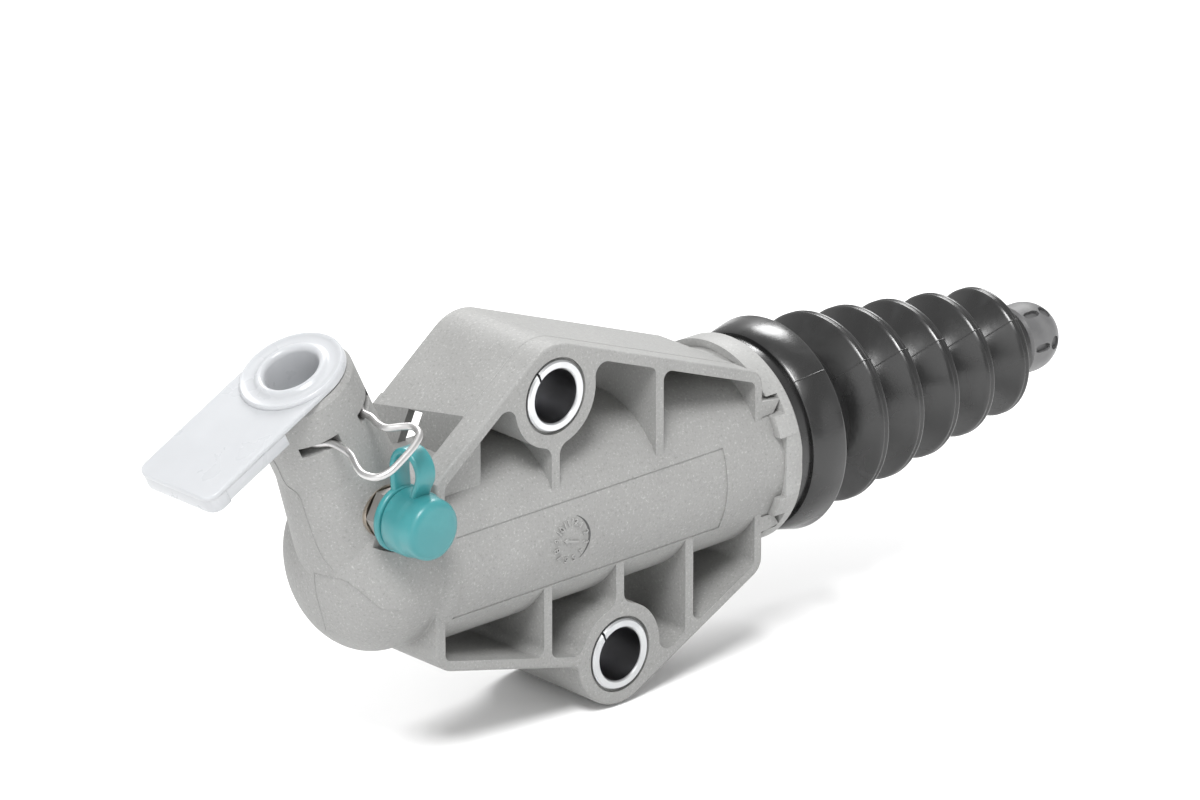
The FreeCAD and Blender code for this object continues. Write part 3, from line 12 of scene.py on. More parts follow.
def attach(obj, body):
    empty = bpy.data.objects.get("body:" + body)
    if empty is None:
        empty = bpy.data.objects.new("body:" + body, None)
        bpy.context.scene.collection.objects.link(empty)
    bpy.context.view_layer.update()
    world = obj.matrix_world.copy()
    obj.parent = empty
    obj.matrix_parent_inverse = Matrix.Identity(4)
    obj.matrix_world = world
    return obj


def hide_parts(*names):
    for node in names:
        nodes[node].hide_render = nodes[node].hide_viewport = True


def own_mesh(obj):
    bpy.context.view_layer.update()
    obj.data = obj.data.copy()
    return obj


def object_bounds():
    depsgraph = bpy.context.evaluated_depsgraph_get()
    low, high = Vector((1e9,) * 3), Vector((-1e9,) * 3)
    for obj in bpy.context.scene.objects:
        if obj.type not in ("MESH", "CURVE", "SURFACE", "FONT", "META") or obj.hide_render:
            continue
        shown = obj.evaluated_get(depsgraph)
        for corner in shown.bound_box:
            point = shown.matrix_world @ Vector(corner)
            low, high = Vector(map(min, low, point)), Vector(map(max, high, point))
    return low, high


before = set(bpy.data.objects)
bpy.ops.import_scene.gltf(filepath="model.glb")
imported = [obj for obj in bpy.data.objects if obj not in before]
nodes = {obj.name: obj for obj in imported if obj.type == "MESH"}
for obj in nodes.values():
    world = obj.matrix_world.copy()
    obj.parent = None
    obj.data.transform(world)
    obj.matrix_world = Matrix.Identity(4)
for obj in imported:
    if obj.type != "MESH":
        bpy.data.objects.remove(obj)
cad_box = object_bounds()
MM = 0.001

# Sizes and places, in millimetres, that the pieces share
STROKE_DROP = 22.6
LOWER_BOLT_X, LOWER_BOLT_Z = 13.1, -2 * STROKE_DROP
PORT_SHIFT = 24.1
PORT_TILT = math.radians(26.5)


def on_stroke(x, y, z):
    """A point given about the stroke axis, in millimetres, as metres in the frame."""
    return Vector((x, y, z - STROKE_DROP)) * MM


def on_port(along, across, back=0.0):
    """A point given along the port's axis and square to it."""
    x = across * math.cos(PORT_TILT) - along * math.sin(PORT_TILT) - PORT_SHIFT
    z = across * math.sin(PORT_TILT) + along * math.cos(PORT_TILT)
    return on_stroke(x, back, z)


# Camera at the photograph's viewing angle

AZIMUTH = math.radians(-42.6)
ELEVATION = math.radians(21.0)
DISTANCE = 1.6268
LOOK_ACROSS, LOOK_DOWN = -15.401, 17.095
LENS = 323.9
SENSOR_WIDTH = 36.0

to_camera = Vector((
    math.sin(AZIMUTH) * math.cos(ELEVATION),
    -math.cos(AZIMUTH) * math.cos(ELEVATION),
    math.sin(ELEVATION),
))
camera = bpy.data.objects.new("camera", bpy.data.cameras.new("camera"))
bpy.context.scene.collection.objects.link(camera)
bpy.context.scene.camera = camera
camera.data.lens = LENS
camera.data.sensor_width = SENSOR_WIDTH
camera.data.clip_start = 0.05
camera.data.clip_end = 30.0
camera.rotation_mode = "QUATERNION"
camera.rotation_quaternion = (-to_camera).to_track_quat("-Z", "Y")
camera_turn = camera.rotation_quaternion.to_matrix()
offset = camera_turn @ Vector((-LOOK_ACROSS, LOOK_DOWN, 0.0)) * MM
camera.location = on_stroke(0, 0, 0) + offset + to_camera * DISTANCE


# Soft studio light

WHITE_ROOM_STRENGTH = 0.63


def area_light(name, place, target, size, watts):
    """A round soft light at a place in metres, turned to its target."""
    data = bpy.data.lights.new(name, "AREA")
    data.shape = "DISK"
    data.size = size
    data.energy = watts
    light = bpy.data.objects.new(name, data)
    bpy.context.scene.collection.objects.link(light)
    light.location = place
    light.rotation_mode = "QUATERNION"
    light.rotation_quaternion = (Vector(target) - Vector(place)).to_track_quat("-Z", "Y")


centre = (cad_box[0] + cad_box[1]) / 2
area_light("key", (-0.50, -0.45, 1.05), centre, size=0.45, watts=15.0)
area_light("fill", (-0.9, -0.35, 0.25), centre, size=0.8, watts=1.8)
area_light("rim", (0.55, 0.55, 0.75), centre, size=0.5, watts=9.0)
area_light("front_low", (0.45, -0.95, 0.1), centre, size=0.8, watts=1.0)

world = bpy.data.worlds.new("studio")
bpy.context.scene.world = world
world.use_nodes = True
room_light = world.node_tree.nodes["Background"]
room_light.inputs["Color"].default_value = (1.0, 1.0, 1.0, 1.0)
room_light.inputs["Strength"].default_value = WHITE_ROOM_STRENGTH
bpy.context.scene.view_settings.view_transform = "Standard"


# Node helpers

def link(tree, source, output, target, target_input):
    tree.links.new(source.outputs[output], target.inputs[target_input])


def new_group(name, inputs):
    """A shader group with inputs as (name, kind, default) and the outputs of a finish."""
    group = bpy.data.node_groups.new(name, "ShaderNodeTree")
    for label, kind, default in inputs:
        socket = group.interface.new_socket(name=label, in_out="INPUT", socket_type=kind)
        socket.default_value = default
    outputs = (("Colour", "NodeSocketColor"), ("Height", "NodeSocketFloat"),
               ("Roughness", "NodeSocketFloat"))
    for label, kind in outputs:
        group.interface.new_socket(name=label, in_out="OUTPUT", socket_type=kind)
    entry = group.nodes.new("NodeGroupInput")
    leave = group.nodes.new("NodeGroupOutput")
    return group, entry, leave


def node(tree, kind, **settings):
    """A new node with its settings."""
    made = tree.nodes.new(kind)
    for key, value in settings.items():
        setattr(made, key, value)
    return made


def ramp(tree, low, high, low_value=0.0, high_value=1.0):
    """Maps the stretch from low to high onto two new values."""
    made = tree.nodes.new("ShaderNodeMapRange")
    made.inputs["From Min"].default_value = low
    made.inputs["From Max"].default_value = high
    made.inputs["To Min"].default_value = low_value
    made.inputs["To Max"].default_value = high_value
    return made


def colour_mix(tree, blend_type="MIX"):
    return node(tree, "ShaderNodeMix", data_type="RGBA", blend_type=blend_type)


def mix_sockets(mix):
    """Factor, A, B and result of a colour mix node."""
    return mix.inputs[0], mix.inputs[6], mix.inputs[7], mix.outputs[2]


def build_speckle_group():
    """Fine light and dark flecks with a slow cloudiness, as in glass-filled nylon."""
    group, entry, leave = new_group(
        "glass_fleck",
        [
            ("Base", "NodeSocketColor", (0.5, 0.5, 0.5, 1)),
            ("Light fleck", "NodeSocketColor", (0.8, 0.8, 0.8, 1)),
            ("Dark fleck", "NodeSocketColor", (0.3, 0.3, 0.3, 1)),
            ("Fleck size", "NodeSocketFloat", 2600.0),
            ("Fleck share", "NodeSocketFloat", 0.35),
        ],
    )
    place = group.nodes.new("ShaderNodeTexCoord")
    fine = node(group, "ShaderNodeTexNoise")
    fine.inputs["Detail"].default_value = 3.0
    fine.inputs["Roughness"].default_value = 0.7
    link(group, place, "Object", fine, "Vector")
    link(group, entry, "Fleck size", fine, "Scale")
    cloud = node(group, "ShaderNodeTexNoise")
    cloud.inputs["Scale"].default_value = 90.0
    cloud.inputs["Detail"].default_value = 4.0
    link(group, place, "Object", cloud, "Vector")
    light = ramp(group, 0.57, 0.72)
    link(group, fine, "Fac", light, "Value")
    dark = ramp(group, 0.43, 0.30)
    link(group, fine, "Fac", dark, "Value")
    colour = entry.outputs["Base"]
    for mask, fleck in ((light, "Light fleck"), (dark, "Dark fleck")):
        share = node(group, "ShaderNodeMath", operation="MULTIPLY")
        link(group, mask, "Result", share, 0)
        link(group, entry, "Fleck share", share, 1)
        factor, under, over, result = mix_sockets(colour_mix(group))
        group.links.new(share.outputs[0], factor)
        group.links.new(colour, under)
        group.links.new(entry.outputs[fleck], over)
        colour = result
    tone = ramp(group, 0.3, 0.7, 0.93, 1.05)
    link(group, cloud, "Fac", tone, "Value")
    factor, under, over, shaded = mix_sockets(colour_mix(group, "MULTIPLY"))
    factor.default_value = 1.0
    group.links.new(colour, under)
    group.links.new(tone.outputs["Result"], over)
    group.links.new(shaded, leave.inputs["Colour"])
    link(group, fine, "Fac", leave, "Height")
    rough = ramp(group, 0.3, 0.7, 0.5, 0.66)
    link(group, cloud, "Fac", rough, "Value")
    link(group, rough, "Result", leave, "Roughness")
    return group


def build_grain_group():
    """A fine skin of even grain with a few broad smears, for rubber and smooth plastic."""
    group, entry, leave = new_group(
        "moulded_skin",
        [
            ("Colour", "NodeSocketColor", (0.1, 0.1, 0.1, 1)),
            ("Worn colour", "NodeSocketColor", (0.2, 0.2, 0.2, 1)),
            ("Grain size", "NodeSocketFloat", 1800.0),
            ("Roughness low", "NodeSocketFloat", 0.35),
            ("Roughness high", "NodeSocketFloat", 0.55),
        ],
    )
    place = group.nodes.new("ShaderNodeTexCoord")
    grain = node(group, "ShaderNodeTexNoise")
    grain.inputs["Detail"].default_value = 5.0
    link(group, place, "Object", grain, "Vector")
    link(group, entry, "Grain size", grain, "Scale")
    smear = node(group, "ShaderNodeTexNoise")
    smear.inputs["Scale"].default_value = 140.0
    smear.inputs["Detail"].default_value = 6.0
    smear.inputs["Distortion"].default_value = 0.6
    link(group, place, "Object", smear, "Vector")
    worn = ramp(group, 0.5, 0.75)
    link(group, smear, "Fac", worn, "Value")
    factor, fresh, rubbed, result = mix_sockets(colour_mix(group))
    group.links.new(worn.outputs["Result"], factor)
    group.links.new(entry.outputs["Colour"], fresh)
    group.links.new(entry.outputs["Worn colour"], rubbed)
    group.links.new(result, leave.inputs["Colour"])
    rough = node(group, "ShaderNodeMapRange")
    rough.inputs["From Min"].default_value = 0.35
    rough.inputs["From Max"].default_value = 0.65
    link(group, smear, "Fac", rough, "Value")
    link(group, entry, "Roughness low", rough, "To Min")
    link(group, entry, "Roughness high", rough, "To Max")
    link(group, rough, "Result", leave, "Roughness")
    link(group, grain, "Fac", leave, "Height")
    return group


SPECKLE = build_speckle_group()
SKIN = build_grain_group()


def new_material(name):
    material = bpy.data.materials.new(name)
    material.use_nodes = True
    tree = material.node_tree
    shader = tree.nodes["Principled BSDF"]
    return material, tree, shader


def feed(tree, shader, group, values, bump_strength, bump_distance):
    """Places a shared effect in a material and wires it to the shader."""
    effect = node(tree, "ShaderNodeGroup", node_tree=group)
    for label, value in values.items():
        effect.inputs[label].default_value = value
    link(tree, effect, "Colour", shader, "Base Color")
    link(tree, effect, "Roughness", shader, "Roughness")
    bump = node(tree, "ShaderNodeBump")
    bump.inputs["Strength"].default_value = bump_strength
    bump.inputs["Distance"].default_value = bump_distance
    link(tree, effect, "Height", bump, "Height")
    link(tree, bump, "Normal", shader, "Normal")
    return effect


def nylon(name, base, light, dark):
    """Glass-filled nylon of a base colour, with light and dark flecks."""
    material, tree, shader = new_material(name)
    feed(tree, shader, SPECKLE, {
        "Base": (*base, 1), "Light fleck": (*light, 1), "Dark fleck": (*dark, 1),
        "Fleck size": 2400.0, "Fleck share": 0.55,
    }, 0.25, 0.00012)
    shader.inputs["Specular IOR Level"].default_value = 0.35
    return material


def skinned(name, colour, worn, grain, low, high, bump=0.15, distance=0.00008):
    """A finish with the moulded skin, its roughness between low and high."""
    material, tree, shader = new_material(name)
    feed(tree, shader, SKIN, {
        "Colour": (*colour, 1), "Worn colour": (*worn, 1), "Grain size": grain,
        "Roughness low": low, "Roughness high": high,
    }, bump, distance)
    return material, shader


# Finishes

housing_nylon = nylon(
    "housing_nylon", (0.27, 0.27, 0.264), (0.47, 0.47, 0.46), (0.16, 0.16, 0.156))
cover_nylon = nylon(
    "cover_nylon", (0.31, 0.31, 0.304), (0.50, 0.50, 0.49), (0.20, 0.20, 0.196))
boot_rubber, boot_shader = skinned(
    "boot_rubber", (0.011, 0.011, 0.011), (0.022, 0.022, 0.022), 900.0, 0.22, 0.32,
    bump=0.2, distance=0.0001)
boot_shader.inputs["Specular IOR Level"].default_value = 0.65
seal_rubber, _ = skinned(
    "seal_rubber", (0.015, 0.015, 0.015), (0.03, 0.03, 0.03), 1500.0, 0.35, 0.5)
cap_rubber, cap_shader = skinned(
    "cap_rubber", (0.036, 0.212, 0.226), (0.045, 0.24, 0.253), 1500.0, 0.28, 0.36, bump=0.05)
cap_shader.inputs["Subsurface Weight"].default_value = 0.15
cap_shader.inputs["Subsurface Radius"].default_value = (0.2, 1.0, 1.0)
cap_shader.inputs["Subsurface Scale"].default_value = 0.001
dark_nylon, _ = skinned(
    "rod_cap_nylon", (0.11, 0.11, 0.112), (0.17, 0.17, 0.17), 1600.0, 0.34, 0.5)
# dark nylon of the seal spreader, also used as painted shade on the dial's crescent
inner_nylon_and_painted_shade, _ = skinned(
    "inner_nylon_and_painted_shade", (0.05, 0.05, 0.05), (0.08, 0.08, 0.08), 1600.0, 0.4, 0.55)

METAL_GRAIN = 2200.0
METAL_BUMP = 0.08
METAL_BUMP_DISTANCE = 0.00004
BORE_SHADE_FROM, BORE_SHADE_TO = 4.24, 4.34


def metal(name, colour, tarnish, low, high):
    """A bare metal with faint tarnish."""
    material, shader = skinned(
        name, colour, tarnish, METAL_GRAIN, low, high, METAL_BUMP, METAL_BUMP_DISTANCE)
    shader.inputs["Metallic"].default_value = 1.0
    return material


def bush_metal(name, centre_x, centre_z):
    """Bright zinc on the bush's rim, with painted shade turning the colour dark grey down its bore.
    """
    material, tree, shader = new_material(name)
    effect = feed(tree, shader, SKIN, {
        "Colour": (0.60, 0.61, 0.615, 1), "Worn colour": (0.50, 0.51, 0.52, 1),
        "Grain size": METAL_GRAIN, "Roughness low": 0.28, "Roughness high": 0.42,
    }, METAL_BUMP, METAL_BUMP_DISTANCE)
    place = node(tree, "ShaderNodeTexCoord")
    shift = node(tree, "ShaderNodeVectorMath", operation="SUBTRACT")
    shift.inputs[1].default_value = (centre_x * MM, 0.0, centre_z * MM)
    link(tree, place, "Object", shift, 0)
    flatten = node(tree, "ShaderNodeVectorMath", operation="MULTIPLY")
    flatten.inputs[1].default_value = (1.0, 0.0, 1.0)
    tree.links.new(shift.outputs[0], flatten.inputs[0])
    distance = node(tree, "ShaderNodeVectorMath", operation="LENGTH")
    tree.links.new(flatten.outputs[0], distance.inputs[0])
    # painted shade: the colour darkens towards the axis, down the bore
    bore = ramp(tree, BORE_SHADE_FROM * MM, BORE_SHADE_TO * MM, 1.0, 0.0)
    link(tree, distance, "Value", bore, "Value")
    factor, bright, dark, result = mix_sockets(colour_mix(tree))
    tree.links.new(bore.outputs["Result"], factor)
    tree.links.new(effect.outputs["Colour"], bright)
    # colour of the painted shade in the bore
    dark.default_value = (0.26, 0.26, 0.27, 1)
    tree.links.new(result, shader.inputs["Base Color"])
    shader.inputs["Metallic"].default_value = 1.0
    return material


upper_zinc = bush_metal("upper_bush_zinc", 0.0, 0.0)
lower_zinc = bush_metal("lower_bush_zinc", LOWER_BOLT_X, LOWER_BOLT_Z)
steel = metal("plain_steel", (0.55, 0.55, 0.56), (0.42, 0.42, 0.43), 0.25, 0.4)
clip_wire = metal("clip_wire", (0.56, 0.555, 0.55), (0.42, 0.415, 0.41), 0.34, 0.46)
brass = metal("insert_brass", (0.50, 0.44, 0.37), (0.36, 0.31, 0.26), 0.25, 0.4)
screw_steel = metal("bleeder_steel", (0.50, 0.48, 0.46), (0.34, 0.32, 0.30), 0.25, 0.45)
alloy = metal("piston_alloy", (0.68, 0.69, 0.70), (0.6, 0.6, 0.61), 0.2, 0.32)

plug_plastic, plug_shader = skinned(
    "plug_plastic", (0.44, 0.45, 0.465), (0.452, 0.462, 0.477), 900.0, 0.27, 0.29, bump=0.04)
plug_shader.inputs["IOR"].default_value = 1.45
plug_shader.inputs["Subsurface Weight"].default_value = 0.4
plug_shader.inputs["Subsurface Radius"].default_value = (1.0, 1.0, 1.0)
plug_shader.inputs["Subsurface Scale"].default_value = 0.0008

floor_paper, _, floor_shader = new_material("floor_paper")
floor_shader.inputs["Base Color"].default_value = (0.93, 0.93, 0.93, 1)
floor_shader.inputs["Roughness"].default_value = 0.9


# Modelling helpers

def clear_selection():
    """Leaves edit mode and selects nothing."""
    if bpy.context.object is not None and bpy.context.object.mode != "OBJECT":
        bpy.ops.object.mode_set(mode="OBJECT")
    bpy.ops.object.select_all(action="DESELECT")


def take(piece):
    """Makes one piece the only one that operators act on."""
    clear_selection()
    bpy.context.view_layer.objects.active = piece
    piece.select_set(True)


def finish_piece(piece, material, slot_name, body, *replaced, angle=30.0):
    """Smooths a piece by angle, gives it its finish and seats it on its body."""
    take(piece)
    bpy.ops.object.transform_apply(location=True, rotation=True, scale=True)
    bpy.ops.object.shade_smooth_by_angle(angle=math.radians(angle))
    piece.data.materials.clear()
    piece.data.materials.append(material)
    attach(piece, body)
    if replaced:
        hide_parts(*replaced)


def spun(name, outline, axis_point, axis, steps):
    """Turns a closed outline, given as points in metres, about an axis."""
    mesh = bpy.data.meshes.new(name)
    count = len(outline)
    mesh.from_pydata(
        [tuple(p) for p in outline], [(i, (i + 1) % count) for i in range(count)], [])
    piece = bpy.data.objects.new(name, mesh)
    bpy.context.scene.collection.objects.link(piece)
    take(piece)
    bpy.ops.object.mode_set(mode="EDIT")
    bpy.ops.mesh.select_all(action="SELECT")
    bpy.ops.mesh.spin(
        steps=steps, angle=2 * math.pi, center=axis_point, axis=axis, use_auto_merge=True)
    bpy.ops.mesh.select_all(action="SELECT")
    bpy.ops.mesh.remove_doubles(threshold=1e-6)
    bpy.ops.mesh.normals_make_consistent(inside=False)
    bpy.ops.object.mode_set(mode="OBJECT")
    return piece


def extruded(name, corners, move):
    """A solid whose flat face, given by its corners in metres, is moved along."""
    mesh = bpy.data.meshes.new(name)
    mesh.from_pydata([tuple(corner) for corner in corners], [], [list(range(len(corners)))])
    piece = bpy.data.objects.new(name, mesh)
    bpy.context.scene.collection.objects.link(piece)
    take(piece)
    bpy.ops.object.mode_set(mode="EDIT")
    bpy.ops.mesh.select_all(action="SELECT")
    bpy.ops.mesh.extrude_region_move(TRANSFORM_OT_translate={"value": tuple(move)})
    bpy.ops.mesh.select_all(action="SELECT")
    bpy.ops.mesh.normals_make_consistent(inside=False)
    bpy.ops.object.mode_set(mode="OBJECT")
    return piece


def merged_copy(node_name, name):
    """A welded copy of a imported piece, with its flat faces whole again."""
    piece = nodes[node_name].copy()
    piece.data = nodes[node_name].data.copy()
    piece.name = name
    piece.parent = None
    for key in list(piece.keys()):
        del piece[key]
    bpy.context.scene.collection.objects.link(piece)
    take(piece)
    bpy.ops.object.mode_set(mode="EDIT")
    bpy.ops.mesh.select_all(action="SELECT")
    bpy.ops.mesh.remove_doubles(threshold=2e-7)
    bpy.ops.mesh.dissolve_limited(angle_limit=math.radians(0.2))
    bpy.ops.object.mode_set(mode="OBJECT")
    return piece


def tube(name, path, radius, sides):
    """A round wire through points in metres, made a mesh."""
    curve = bpy.data.curves.new(name, "CURVE")
    curve.dimensions = "3D"
    spline = curve.splines.new("POLY")
    spline.points.add(len(path) - 1)
    for point, place in zip(spline.points, path):
        point.co = (*place, 1.0)
    curve.bevel_depth = radius
    curve.bevel_resolution = sides
    curve.use_fill_caps = True
    piece = bpy.data.objects.new(name, curve)
    bpy.context.scene.collection.objects.link(piece)
    take(piece)
    bpy.ops.object.convert(target="MESH")
    return bpy.context.object


def smooth_path(points, steps):
    """Points of a smooth curve through the given ones, ends included."""
    ends = [points[0] * 2 - points[1]] + list(points) + [points[-1] * 2 - points[-2]]
    path = []
    for i in range(1, len(ends) - 2):
        before, here, after, beyond = ends[i - 1], ends[i], ends[i + 1], ends[i + 2]
        for step in range(steps):
            t = step / steps
            path.append(0.5 * (
                2 * here + (after - before) * t
                + (2 * before - 5 * here + 4 * after - beyond) * t * t
                + (3 * here - before - 3 * after + beyond) * t * t * t))
    return path + [points[-1]]


def soften_edges(piece, width, segments):
    """Rounds a piece's sharp edges by a bevel of a width in millimetres."""
    take(piece)
    bevel = piece.modifiers.new("soft_edges", "BEVEL")
    bevel.width = width * MM
    bevel.segments = segments
    bevel.limit_method = "ANGLE"
    bevel.angle_limit = math.radians(35.0)
    bevel.use_clamp_overlap = True
    bpy.ops.object.modifier_apply(modifier=bevel.name)


# Boot: cuff and folds spun from one outline, with a tail of its own on the rod

CUFF_END = 56.85
BOOT_TAIL_START = 105.2
FOLDS = 5
FIRST_CREST, FOLD_PITCH = 66.8, 8.78
FIRST_CREST_RADIUS, LAST_CREST_RADIUS = 15.1, 10.3
FOLD_DEPTH = 4.3
VALLEY_FLAT, VALLEY_CORNER, VALLEY_RISE = 0.2, 0.55, 0.22
HALF_CREST = ((0.08, -0.16), (0.22, -0.05), (0.42, 0.0), (0.62, -0.06), (0.95, -0.42))
BOOT_WALL = 1.15
BOOT_LINE_TURN = math.radians(45.0)
BOOT_LINE_RADIUS, BOOT_LINE_LIFT = 0.09, 0.01


def fold_outline(inset):
    """Conical flanks, narrow valleys and twin-beaded crests, from the cuff to the last fold."""
    half = FOLD_PITCH / 2
    crest = [(-along, rise) for along, rise in reversed(HALF_CREST)] + list(HALF_CREST)
    points = []
    for i in range(FOLDS):
        x = FIRST_CREST + FOLD_PITCH * i
        r = FIRST_CREST_RADIUS - (FIRST_CREST_RADIUS - LAST_CREST_RADIUS) * i / (FOLDS - 1)
        low = r - FOLD_DEPTH - inset
        points.append((x - half + VALLEY_FLAT, low))
        points.append((x - half + VALLEY_CORNER, low + VALLEY_RISE))
        points += [(x + along, r - inset + rise) for along, rise in crest]
        points.append((x + half - VALLEY_CORNER, low + VALLEY_RISE))
        points.append((x + half - VALLEY_FLAT, low))
    return points


def around_stroke(x, radius, turn):
    """A point at a radius about the stroke axis, turned forwards from the top."""
    return on_stroke(x, -radius * math.sin(turn), radius * math.cos(turn))


def squeeze(piece):
    """Gives a piece a mesh of its own."""
    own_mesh(piece)


def make_boot():
    cuff = [
        (48.95, 13.9), (48.95, 15.0), (51.0, 15.0), (51.0, 15.5), (51.3, 15.82),
        (56.3, 16.98), (56.7, 16.8), (CUFF_END, 16.3), (57.4, 14.2), (58.6, 12.2),
    ]
    outer = cuff + fold_outline(0.0)[1:]
    inner = [(BOOT_TAIL_START - 0.2, 4.2)]
    inner += list(reversed(fold_outline(BOOT_WALL)[1:-1])) + [(57.6, 12.9), (56.0, 13.9)]
    outline = outer + [(BOOT_TAIL_START, 5.6), (BOOT_TAIL_START, 4.2)] + inner
    boot = spun("boot_bellows", [on_stroke(x, 0, r) for x, r in outline],
                on_stroke(0, 0, 0), (1, 0, 0), steps=112)
    finish_piece(boot, boot_rubber, "rubber", "cylinder", "boot", angle=40.0)
    squeeze(boot)
    line = [around_stroke(x, r + BOOT_LINE_LIFT, BOOT_LINE_TURN) for x, r in outer[3:]]
    mould_line = tube("boot_mould_line", line, BOOT_LINE_RADIUS * MM, sides=2)
    finish_piece(mould_line, boot_rubber, "rubber", "cylinder")
    squeeze(mould_line)
    tail_outline = [
        (105.3, 4.05), (105.3, 5.5), (105.6, 5.85), (107.2, 5.85), (107.5, 5.6), (107.5, 4.05),
    ]
    tail = spun("boot_tail", [on_stroke(x, 0, r) for x, r in tail_outline],
                on_stroke(0, 0, 0), (1, 0, 0), steps=64)
    finish_piece(tail, boot_rubber, "rubber", "rod_group", "boot")


make_boot()


# Preload spring: a copy of the imported coil


def make_spring():
    spring = merged_copy("preload_spring", "spring_coil")
    finish_piece(spring, clip_wire, "spring_wire", "cylinder", "preload_spring")
    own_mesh(spring)


make_spring()


# Dust cap: ring, drum and a teardrop strap of one soft moulding

BLEED_X, BLEED_Z = -30.5, 11.2
STRAP_HALF_WIDTH = 1.25
STRAP_HALF_THICKNESS = 0.55
STRAP_ROUTE = ((12.55, 15.2), (12.5, 17.0), (11.9, 19.6), (13.0, 22.4), (15.6, 22.9),
               (17.9, 21.0), (18.2, 18.4), (16.9, 16.9), (16.5, 15.4))


def about_bleeder(radius, forward):
    """A point at a radius from the bleeder's axis, forwards of the stroke axis."""
    return on_stroke(BLEED_X + radius, -forward, BLEED_Z)


def make_cap_strap():
    """A flat band along its route, given as forwards and upwards from the stroke axis."""
    curve = bpy.data.curves.new("cap_strap", "CURVE")
    curve.dimensions = "3D"
    curve.fill_mode = "FULL"
    curve.twist_mode = "Z_UP"
    curve.use_fill_caps = True
    spline = curve.splines.new("NURBS")
    spline.points.add(len(STRAP_ROUTE) - 1)
    for point, (forward, rise) in zip(spline.points, STRAP_ROUTE):
        point.co = (forward * MM, rise * MM, 0, 1)
    spline.order_u = 4
    spline.use_endpoint_u = True
    spline.resolution_u = 8
    curve.extrude = STRAP_HALF_WIDTH * MM
    curve.bevel_depth = STRAP_HALF_THICKNESS * MM
    curve.bevel_resolution = 3
    strap = bpy.data.objects.new("cap_strap", curve)
    bpy.context.scene.collection.objects.link(strap)
    strap.matrix_world = Matrix((
        (0, 0, -1, on_stroke(BLEED_X, 0, 0).x),
        (-1, 0, 0, 0),
        (0, 1, 0, on_stroke(0, 0, 0).z),
        (0, 0, 0, 1),
    ))
    take(strap)
    bpy.ops.object.convert(target="MESH")
    return bpy.context.object


def make_dust_cap():
    axis_point, axis = about_bleeder(0, 0), (0, 1, 0)
    ring = spun("cap_ring", [about_bleeder(r, f) for r, f in (
        (2.95, 11.9), (4.7, 11.9), (5.05, 12.05), (5.2, 12.35), (5.2, 12.8), (5.05, 13.1),
        (4.8, 13.2), (2.95, 13.2))], axis_point, axis, steps=72)
    drum = spun("cap_drum", [about_bleeder(r, f) for r, f in (
        (0.0, 18.4), (2.95, 18.4), (2.95, 13.55), (4.75, 13.55), (5.02, 13.68), (5.12, 13.95),
        (5.12, 16.4), (5.04, 16.8), (4.88, 17.15), (4.78, 17.6), (4.76, 18.9), (4.68, 19.5),
        (4.45, 19.98), (4.05, 20.28), (3.5, 20.4), (0.0, 20.4))], axis_point, axis, steps=72)
    for piece in (ring, drum, make_cap_strap()):
        finish_piece(piece, cap_rubber, "teal_rubber", "cap", "dust_cap", angle=50.0)


make_dust_cap()


# Wire clip: one bent wire through the neck's slots, its loop drooping a little

CLIP_HEIGHT = 28.8
CLIP_WIRE_RADIUS = 0.56
CLIP_ROUTE = (
    (-6.6, 10.2, 0.0), (-5.5, 9.2, 0.0), (-5.1, 7.6, 0.0), (-5.1, -2.6, 0.0), (-4.7, -5.6, 0.0),
    (-3.6, -7.8, 0.0), (-3.5, -10.2, 0.2), (-3.9, -12.6, 0.5), (-5.3, -15.3, 0.85),
    (-5.8, -17.2, 1.05), (-5.2, -19.2, 1.3), (-3.4, -20.15, 1.4), (-0.6, -20.1, 1.4),
    (2.2, -19.75, 1.4), (4.4, -18.9, 1.3), (5.2, -17.0, 1.1), (4.4, -15.3, 0.9),
    (3.0, -13.6, 0.6), (2.9, -11.8, 0.4), (3.4, -9.8, 0.1), (3.5, -7.8, 0.0),
    (4.7, -5.6, 0.0), (5.1, -2.6, 0.0), (5.1, 7.6, 0.0), (5.5, 9.2, 0.0), (6.6, 10.2, 0.0),
)


def make_clip():
    """The route is given as across the port, backwards, and drooping below the slots."""
    points = [on_port(CLIP_HEIGHT - droop, across, back) for across, back, droop in CLIP_ROUTE]
    clip = tube("clip_wire", smooth_path(points, steps=6), CLIP_WIRE_RADIUS * MM, sides=5)
    finish_piece(clip, clip_wire, "spring_wire", "clip", "retaining_clip", angle=50.0)


make_clip()


# Port plug: ring, strip with side rims and a grip bar, all square to the port's axis

PLUG_REACH = 26.2
PLUG_HALF_WIDTH = 8.3
PLUG_CORNER = 2.0
PLUG_INSET = 0.05
RING_HOLLOW = 7.4
STRIP_LOW, STRIP_HIGH = 36.2, 37.16
RIM_START, RIM_WIDTH, RIM_DEPTH = -9.9, 1.0, 2.2
RIM_LAP = 0.2
GRIP_DEPTH = 2.6
GRIP_LENGTH = 3.6


def rounded_strip(start, end, half_width, hollow=0.0):
    """Corners of a strip whose far end has round corners and whose near end may be hollow."""
    corners = [(start, half_width)]
    for side, turns in ((1, range(0, 91, 15)), (-1, range(90, -1, -15))):
        for angle in turns:
            a = math.radians(angle)
            corners.append((end + PLUG_CORNER * (1 - math.sin(a)),
                            side * (half_width - PLUG_CORNER * (1 - math.cos(a)))))
    corners.append((start, -half_width))
    if hollow:
        corners += [(start - hollow * math.cos(math.radians(a)), hollow * math.sin(math.radians(a)))
                    for a in range(-90, 91, 12)]
    return corners


def port_slab(name, corners, low, high, softness):
    """A slab square to the port's axis, its edges rounded."""
    slab = extruded(name, [on_port(low, across, back) for across, back in corners],
                    on_port(high, 0) - on_port(low, 0))
    soften_edges(slab, softness, segments=3)
    return slab


